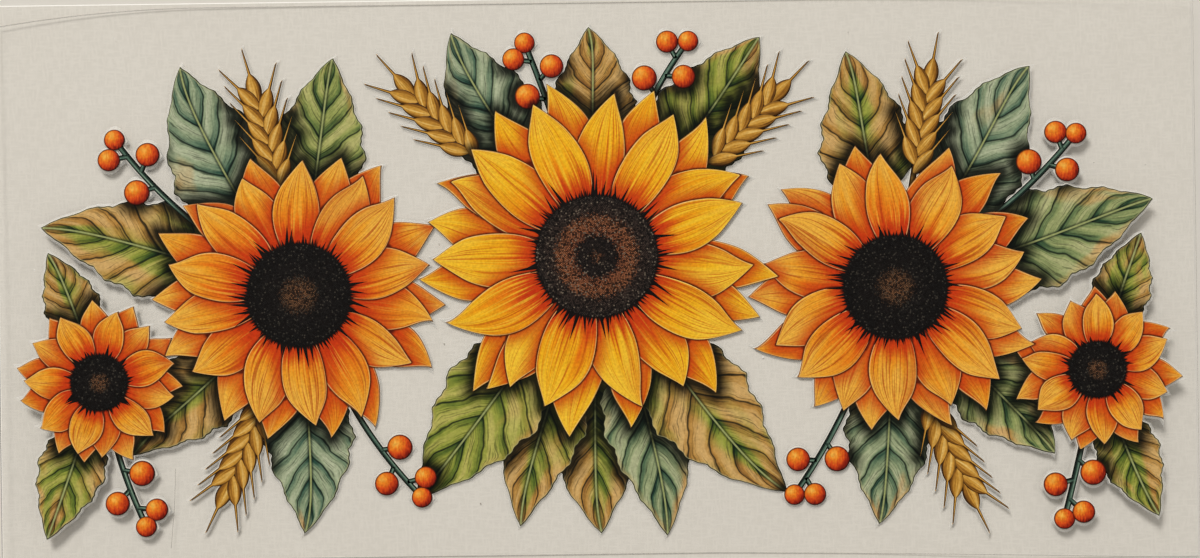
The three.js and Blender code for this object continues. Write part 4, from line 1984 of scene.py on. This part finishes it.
@dataclass(frozen=True)
class Sprig(Motif):
    """A sprig of berries: a stem with a berry at its end and others on stalks."""

    berries: int = 4
    berry: float = 2.6  # the radius that they are spaced by
    tip_size: float = 0.8  # the last berry's radius, as a share of that
    growth: float = 0.06  # how much larger each is than the one above it
    pitch: float = 1.55  # from one stalk to the next, in radii
    stalk: float = 1.45  # a stalk's length, in radii
    stalk_turn: float = math.radians(62)  # how far a stalk turns off the stem
    stalk_half: float = 0.4

    @property
    def end(self) -> float:
        """The length of its stem, up to the last berry's middle."""
        return self.run.length - self.berry

    def stalks(self) -> list[Run]:
        """Works out where the berries' stalks go.

        Returns:
            The middle line of each stalk, from the stem's end down. The first has no length.
        """
        stem = replace(self.run, length=self.end)
        runs = []
        for i in range(self.berries):
            share = 1 - i * self.berry * self.pitch / self.end
            x, y = stem.at(share)
            turn = math.copysign(self.stalk_turn, 1 if i % 2 else -1) if i else 0.0
            length = self.berry * self.stalk if i else 0.0
            runs.append(Run(float(x), float(y), stem.heading(share) + turn, length))
        return runs

    def spots(self) -> list[Spot]:
        """Works out where its berries go.

        Returns:
            The spots, each at the end of its stalk.
        """
        spots = []
        for i, stalk in enumerate(self.stalks()):
            x = stalk.x + stalk.length * math.cos(stalk.angle)
            y = stalk.y + stalk.length * math.sin(stalk.angle)
            size = self.berry * (self.tip_size + self.growth * i)
            spots.append(Spot(x, y, self.rise * i, 0.0, size))
        return spots

    def stems(self) -> list[Blade]:
        """Works out the stem and the stalks.

        Returns:
            The stem, then the stalks.
        """
        sides = even_sides(self.stalk_half)
        cut = {"rows": 6, "columns": 6, "blunt": True}
        stalks = (Blade(run, sides, self.level, self.tone, **cut) for run in self.stalks()[1:])
        return [self.stem(self.end, self.run.sway), *stalks]

    def covered(self) -> list[Blade]:
        """Returns every patch that it covers: the stem, the stalks and the berries as round ones."""
        berries = (round_blade(s.x, s.y, s.size, self.level, rows=24) for s in self.spots())
        return [*self.stems(), *berries]

    def build(self, layering: Layering) -> list[Object]:
        """Builds the stems and the berries.

        Args:
            layering: What lies over what.

        Returns:
            The pieces.
        """
        stems = painted(f"{self.node}_stem", self.stems(), layering, STALKS)
        dome = round_patch(1.0, sides=28, rings=7, crown=0.08, bottom=INK_BOTTOM - self.level)
        dome.points[:, 2] += self.level
        berries = self.small_forms("berries", dome, self.spots(), BERRIES, Slot.BERRY, layering)
        return [settle(stems, self.node), berries]


class Kind(Enum):
    """The kinds of motif that fan out from behind the heads."""

    LEAF = "leaf"
    EAR = "ear"
    SPRIG = "sprig"


# The level of the topmost motif of each kind, and the step down to the next. Two ears share a level.
STACKS = {Kind.SPRIG: (0.827, 0.0015), Kind.EAR: (0.796, 0.012), Kind.LEAF: (0.763, LEVEL_STEP)}


@dataclass(frozen=True)
class Fan:
    """A motif that fans out from behind a head of the right half, as the CAD source lists it."""

    kind: Kind
    head: str  # the name of its head
    angle: float  # the way that it points, in degrees from +X
    reach: float  # how far its tip is from the head's middle
    breadth: float = 0.0  # a leaf's width, as a share of its length
    sway: float = 0.0  # how far its tip drifts to the left, as a share of its length

    def motif(self, node: str, run: Run, level: float, tone: float) -> Motif:
        """Makes the motif.

        Args:
            node: Its CAD node.
            run: Its middle line.
            level: The level of its top.
            tone: Its own number from 0 to 1.

        Returns:
            The motif in its place.
        """
        if self.kind is Kind.LEAF:
            return Leaf(node, run, level, tone, breadth=self.breadth)
        return (Ear if self.kind is Kind.EAR else Sprig)(node, run, level, tone)


@dataclass(frozen=True)
class Print:
    """The whole garland: its beds, its heads, and what fans out from behind them."""

    beds: tuple[Bed, ...] = (
        Bed("white_underlay", WHITE_INK, Slot.WHITE, top=WHITE_TOP, rim=0.08, skirt=0.22),
        Bed("varnish_margin", CLEAR_VARNISH, Slot.FILM, top=VARNISH_TOP, rim=0.5, skirt=0.16),
    )
    heads: tuple[Head, ...] = (
        Head("centre", 37.0, 15, 1, 0.99, GOLDEN_PETALS, BROWN_RINGED_SEEDS, Slot.GOLDEN),
        Head("right", 31.0, 14, 2, 0.9, ORANGE_PETALS, BLACK_SEEDS, Slot.ORANGE),
        Head("left", 31.0, 14, 3, 0.9, ORANGE_PETALS, BLACK_SEEDS, Slot.ORANGE),
        Head("far_right", 17.0, 11, 4, 0.83, ORANGE_PETALS, BLACK_SEEDS, Slot.ORANGE),
        Head("far_left", 17.0, 11, 5, 0.83, ORANGE_PETALS, BLACK_SEEDS, Slot.ORANGE),
    )
    fans: tuple[Fan, ...] = (  # those that show on both halves
        Fan(Kind.SPRIG, "centre", 72, 50, sway=-0.1),
        Fan(Kind.SPRIG, "right", 37, 52, sway=0.12),
        Fan(Kind.SPRIG, "right", -112, 50, sway=-0.1),
        Fan(Kind.SPRIG, "far_right", -104, 34, sway=-0.1),
        Fan(Kind.EAR, "centre", 38, 61, sway=0.1),
        Fan(Kind.EAR, "right", 79, 53, sway=-0.06),
        Fan(Kind.EAR, "right", -72, 53, sway=0.06),
        Fan(Kind.LEAF, "centre", 52, 56, 0.62),
        Fan(Kind.LEAF, "centre", -56, 61, 0.54),
        Fan(Kind.LEAF, "centre", -73, 58, 0.5),
        Fan(Kind.LEAF, "right", 100, 50, 0.62),
        Fan(Kind.LEAF, "right", 57, 52, 0.62),
        Fan(Kind.LEAF, "right", 17, 55, 0.55),
        Fan(Kind.LEAF, "right", -46, 47, 0.62),
        Fan(Kind.LEAF, "right", -95, 49, 0.6),
        Fan(Kind.LEAF, "far_right", 72, 29, 0.62),
        Fan(Kind.LEAF, "far_right", -70, 33, 0.58),
    )
    middle_fans: tuple[Fan, ...] = (
        Fan(Kind.LEAF, "centre", -90, 57, 0.6),
        Fan(Kind.LEAF, "centre", 90, 47, 0.7),
    )
    turn: float = 5.0  # how far a motif's angle strays, in degrees
    stretch: float = 0.05  # how far its reach falls short, as a share of it
    sway: float = 0.16  # how far its sway strays
    root_depth: float = 0.6  # where it starts, as a share of its head's reach

    def course(self, fan: Fan, mirror: int) -> Run:
        """Works out a fanned motif's middle line, as the CAD source does.

        Args:
            fan: The motif.
            mirror: 1 on the right half and -1 on the left.

        Returns:
            The middle line.
        """
        head = next(h for h in self.heads if h.name == fan.head)
        x, y, _ = head.disc
        draw = [chance(fan.angle + k, fan.reach * mirror) - 0.5 for k in (1, 2, 3)]
        angle = math.radians(fan.angle + self.turn * draw[0])
        start = head.reach * self.root_depth
        return Run(
            mirror * (x + start * math.cos(angle)),
            y + start * math.sin(angle),
            angle if mirror > 0 else math.pi - angle,
            fan.reach * (1 - self.stretch * (0.5 + draw[1])) - start,
            mirror * (fan.sway + self.sway * draw[2]),
        )

    def motifs(self) -> list[Motif]:
        """Puts every fanned motif in its place.

        Returns:
            The motifs, from the topmost to the lowest of each kind.
        """
        sides = [(fan, name, m) for fan in self.fans for name, m in (("right", 1), ("left", -1))]
        sides += [(fan, "middle", 1) for fan in self.middle_fans]
        numbers, laid = Counter(), Counter()
        made = []
        for fan, side, mirror in sides:
            name = f"{fan.kind.value}_{side}"
            numbers[name] += 1
            under = laid[fan.kind] // 2 if fan.kind is Kind.EAR else laid[fan.kind]
            laid[fan.kind] += 1
            top, step = STACKS[fan.kind]
            tone = chance(fan.reach, fan.angle * mirror)
            course = self.course(fan, mirror)
            made.append(fan.motif(f"{name}_{numbers[name]}", course, top - under * step, tone))
        return made

    def build(self) -> list[Object]:
        """Builds the beds and everything on them.

        Returns:
            The pieces.
        """
        parts = [*self.heads, *self.motifs()]
        blades = [blade for part in parts for blade in part.covered()]
        layering = Layering([(blade.level, blade.outline()) for blade in blades])
        pieces = [bed.build(blades) for bed in self.beds]
        for part in parts:
            pieces += part.build(layering)
        return pieces


# ---- The studio ----


@dataclass(frozen=True)
class Studio:
    """The camera straight above the sheet, a soft light beyond its top edge, and a pale floor."""

    photo: tuple[int, int] = (1200, 558)  # the photograph's size in pixels
    pixels_per_mm: float = 4.967  # how large the film shows in it
    target: tuple[float, float] = (0.6, 0.45)  # the point of the sheet in the picture's middle
    roll: float = 0.78  # how far the sheet is turned in it, in degrees
    height: float = 380.7  # the camera's
    sensor: float = 36.0
    focus: float = 380.0  # how far the camera is above the print
    light_way: tuple[float, float, float] = (-0.35, 0.9, 1.0)
    light_distance: float = 3.0  # in metres, as its size is
    light_size: float = 0.82
    light_power: float = 66.0
    ambient: float = 0.4  # how strong the even light all round is
    ambient_tint: str = "#FFFDFA"
    table: PlainFinish = PlainFinish(
        "painted_table_top", "#DBD5CA", "#D9D3C8", roughness=0.7, cloud_size=3.0
    )
    table_half: float = 1.5  # in metres
    table_gap: float = 0.05  # how far it lies below the sheet

    def build(self) -> None:
        """Builds the camera, the lights and the floor."""
        bpy.context.scene.view_settings.view_transform = "Standard"
        for step in (self.camera, self.lamp, self.even_light, self.floor):
            step()

    def camera(self) -> None:
        """Puts the camera above the sheet, as the photograph was taken."""
        data = bpy.data.cameras.new("camera")
        data.sensor_width = self.sensor
        data.lens = self.sensor * self.focus / (self.photo[0] / self.pixels_per_mm)
        camera = show("camera", data)
        camera.location = [c * MM for c in (*self.target, self.height)]
        camera.rotation_euler = (0.0, 0.0, -math.radians(self.roll))
        bpy.context.scene.camera = camera

    def lamp(self) -> None:
        """Puts a soft lamp beyond the sheet's top edge."""
        way = np.array(self.light_way) / np.linalg.norm(self.light_way)
        data = bpy.data.lights.new("soft_lamp", "AREA")
        data.size = self.light_size
        data.energy = self.light_power
        lamp = show("soft_lamp", data)
        lamp.location = way * self.light_distance
        tilt, turn = math.acos(way[2]), math.atan2(way[1], way[0]) + math.pi / 2
        lamp.rotation_euler = (tilt, 0.0, turn)

    def even_light(self) -> None:
        """Gives the room an even light all round."""
        world = bpy.data.worlds.new("even_light")
        world.use_nodes = True
        light = {"Color": paint(self.ambient_tint), "Strength": self.ambient}
        connect(world.node_tree.nodes["Background"], light)
        bpy.context.scene.world = world

    def floor(self) -> None:
        """Lays the pale table top under the sheet."""
        turns = ((-1, -1), (1, -1), (1, 1), (-1, 1))
        corners = [(x * self.table_half, y * self.table_half, -self.table_gap * MM) for x, y in turns]
        mesh = bpy.data.meshes.new("table_top")
        mesh.from_pydata(corners, [], [(0, 1, 2, 3)])
        mesh.materials.append(self.table.material())
        show("table_top", mesh)


def main() -> None:
    """Builds the sheet and its studio, and logs how many pieces and faces there are."""
    logging.basicConfig(level=logging.INFO, format="%(name)s: %(message)s")
    Studio().build()
    pieces = [Liner().build(), *Film().build(), *Print().build()]
    log.info("%d pieces, %d faces", len(pieces), sum(len(p.data.polygons) for p in pieces))


if __name__ == "__main__":
    main()
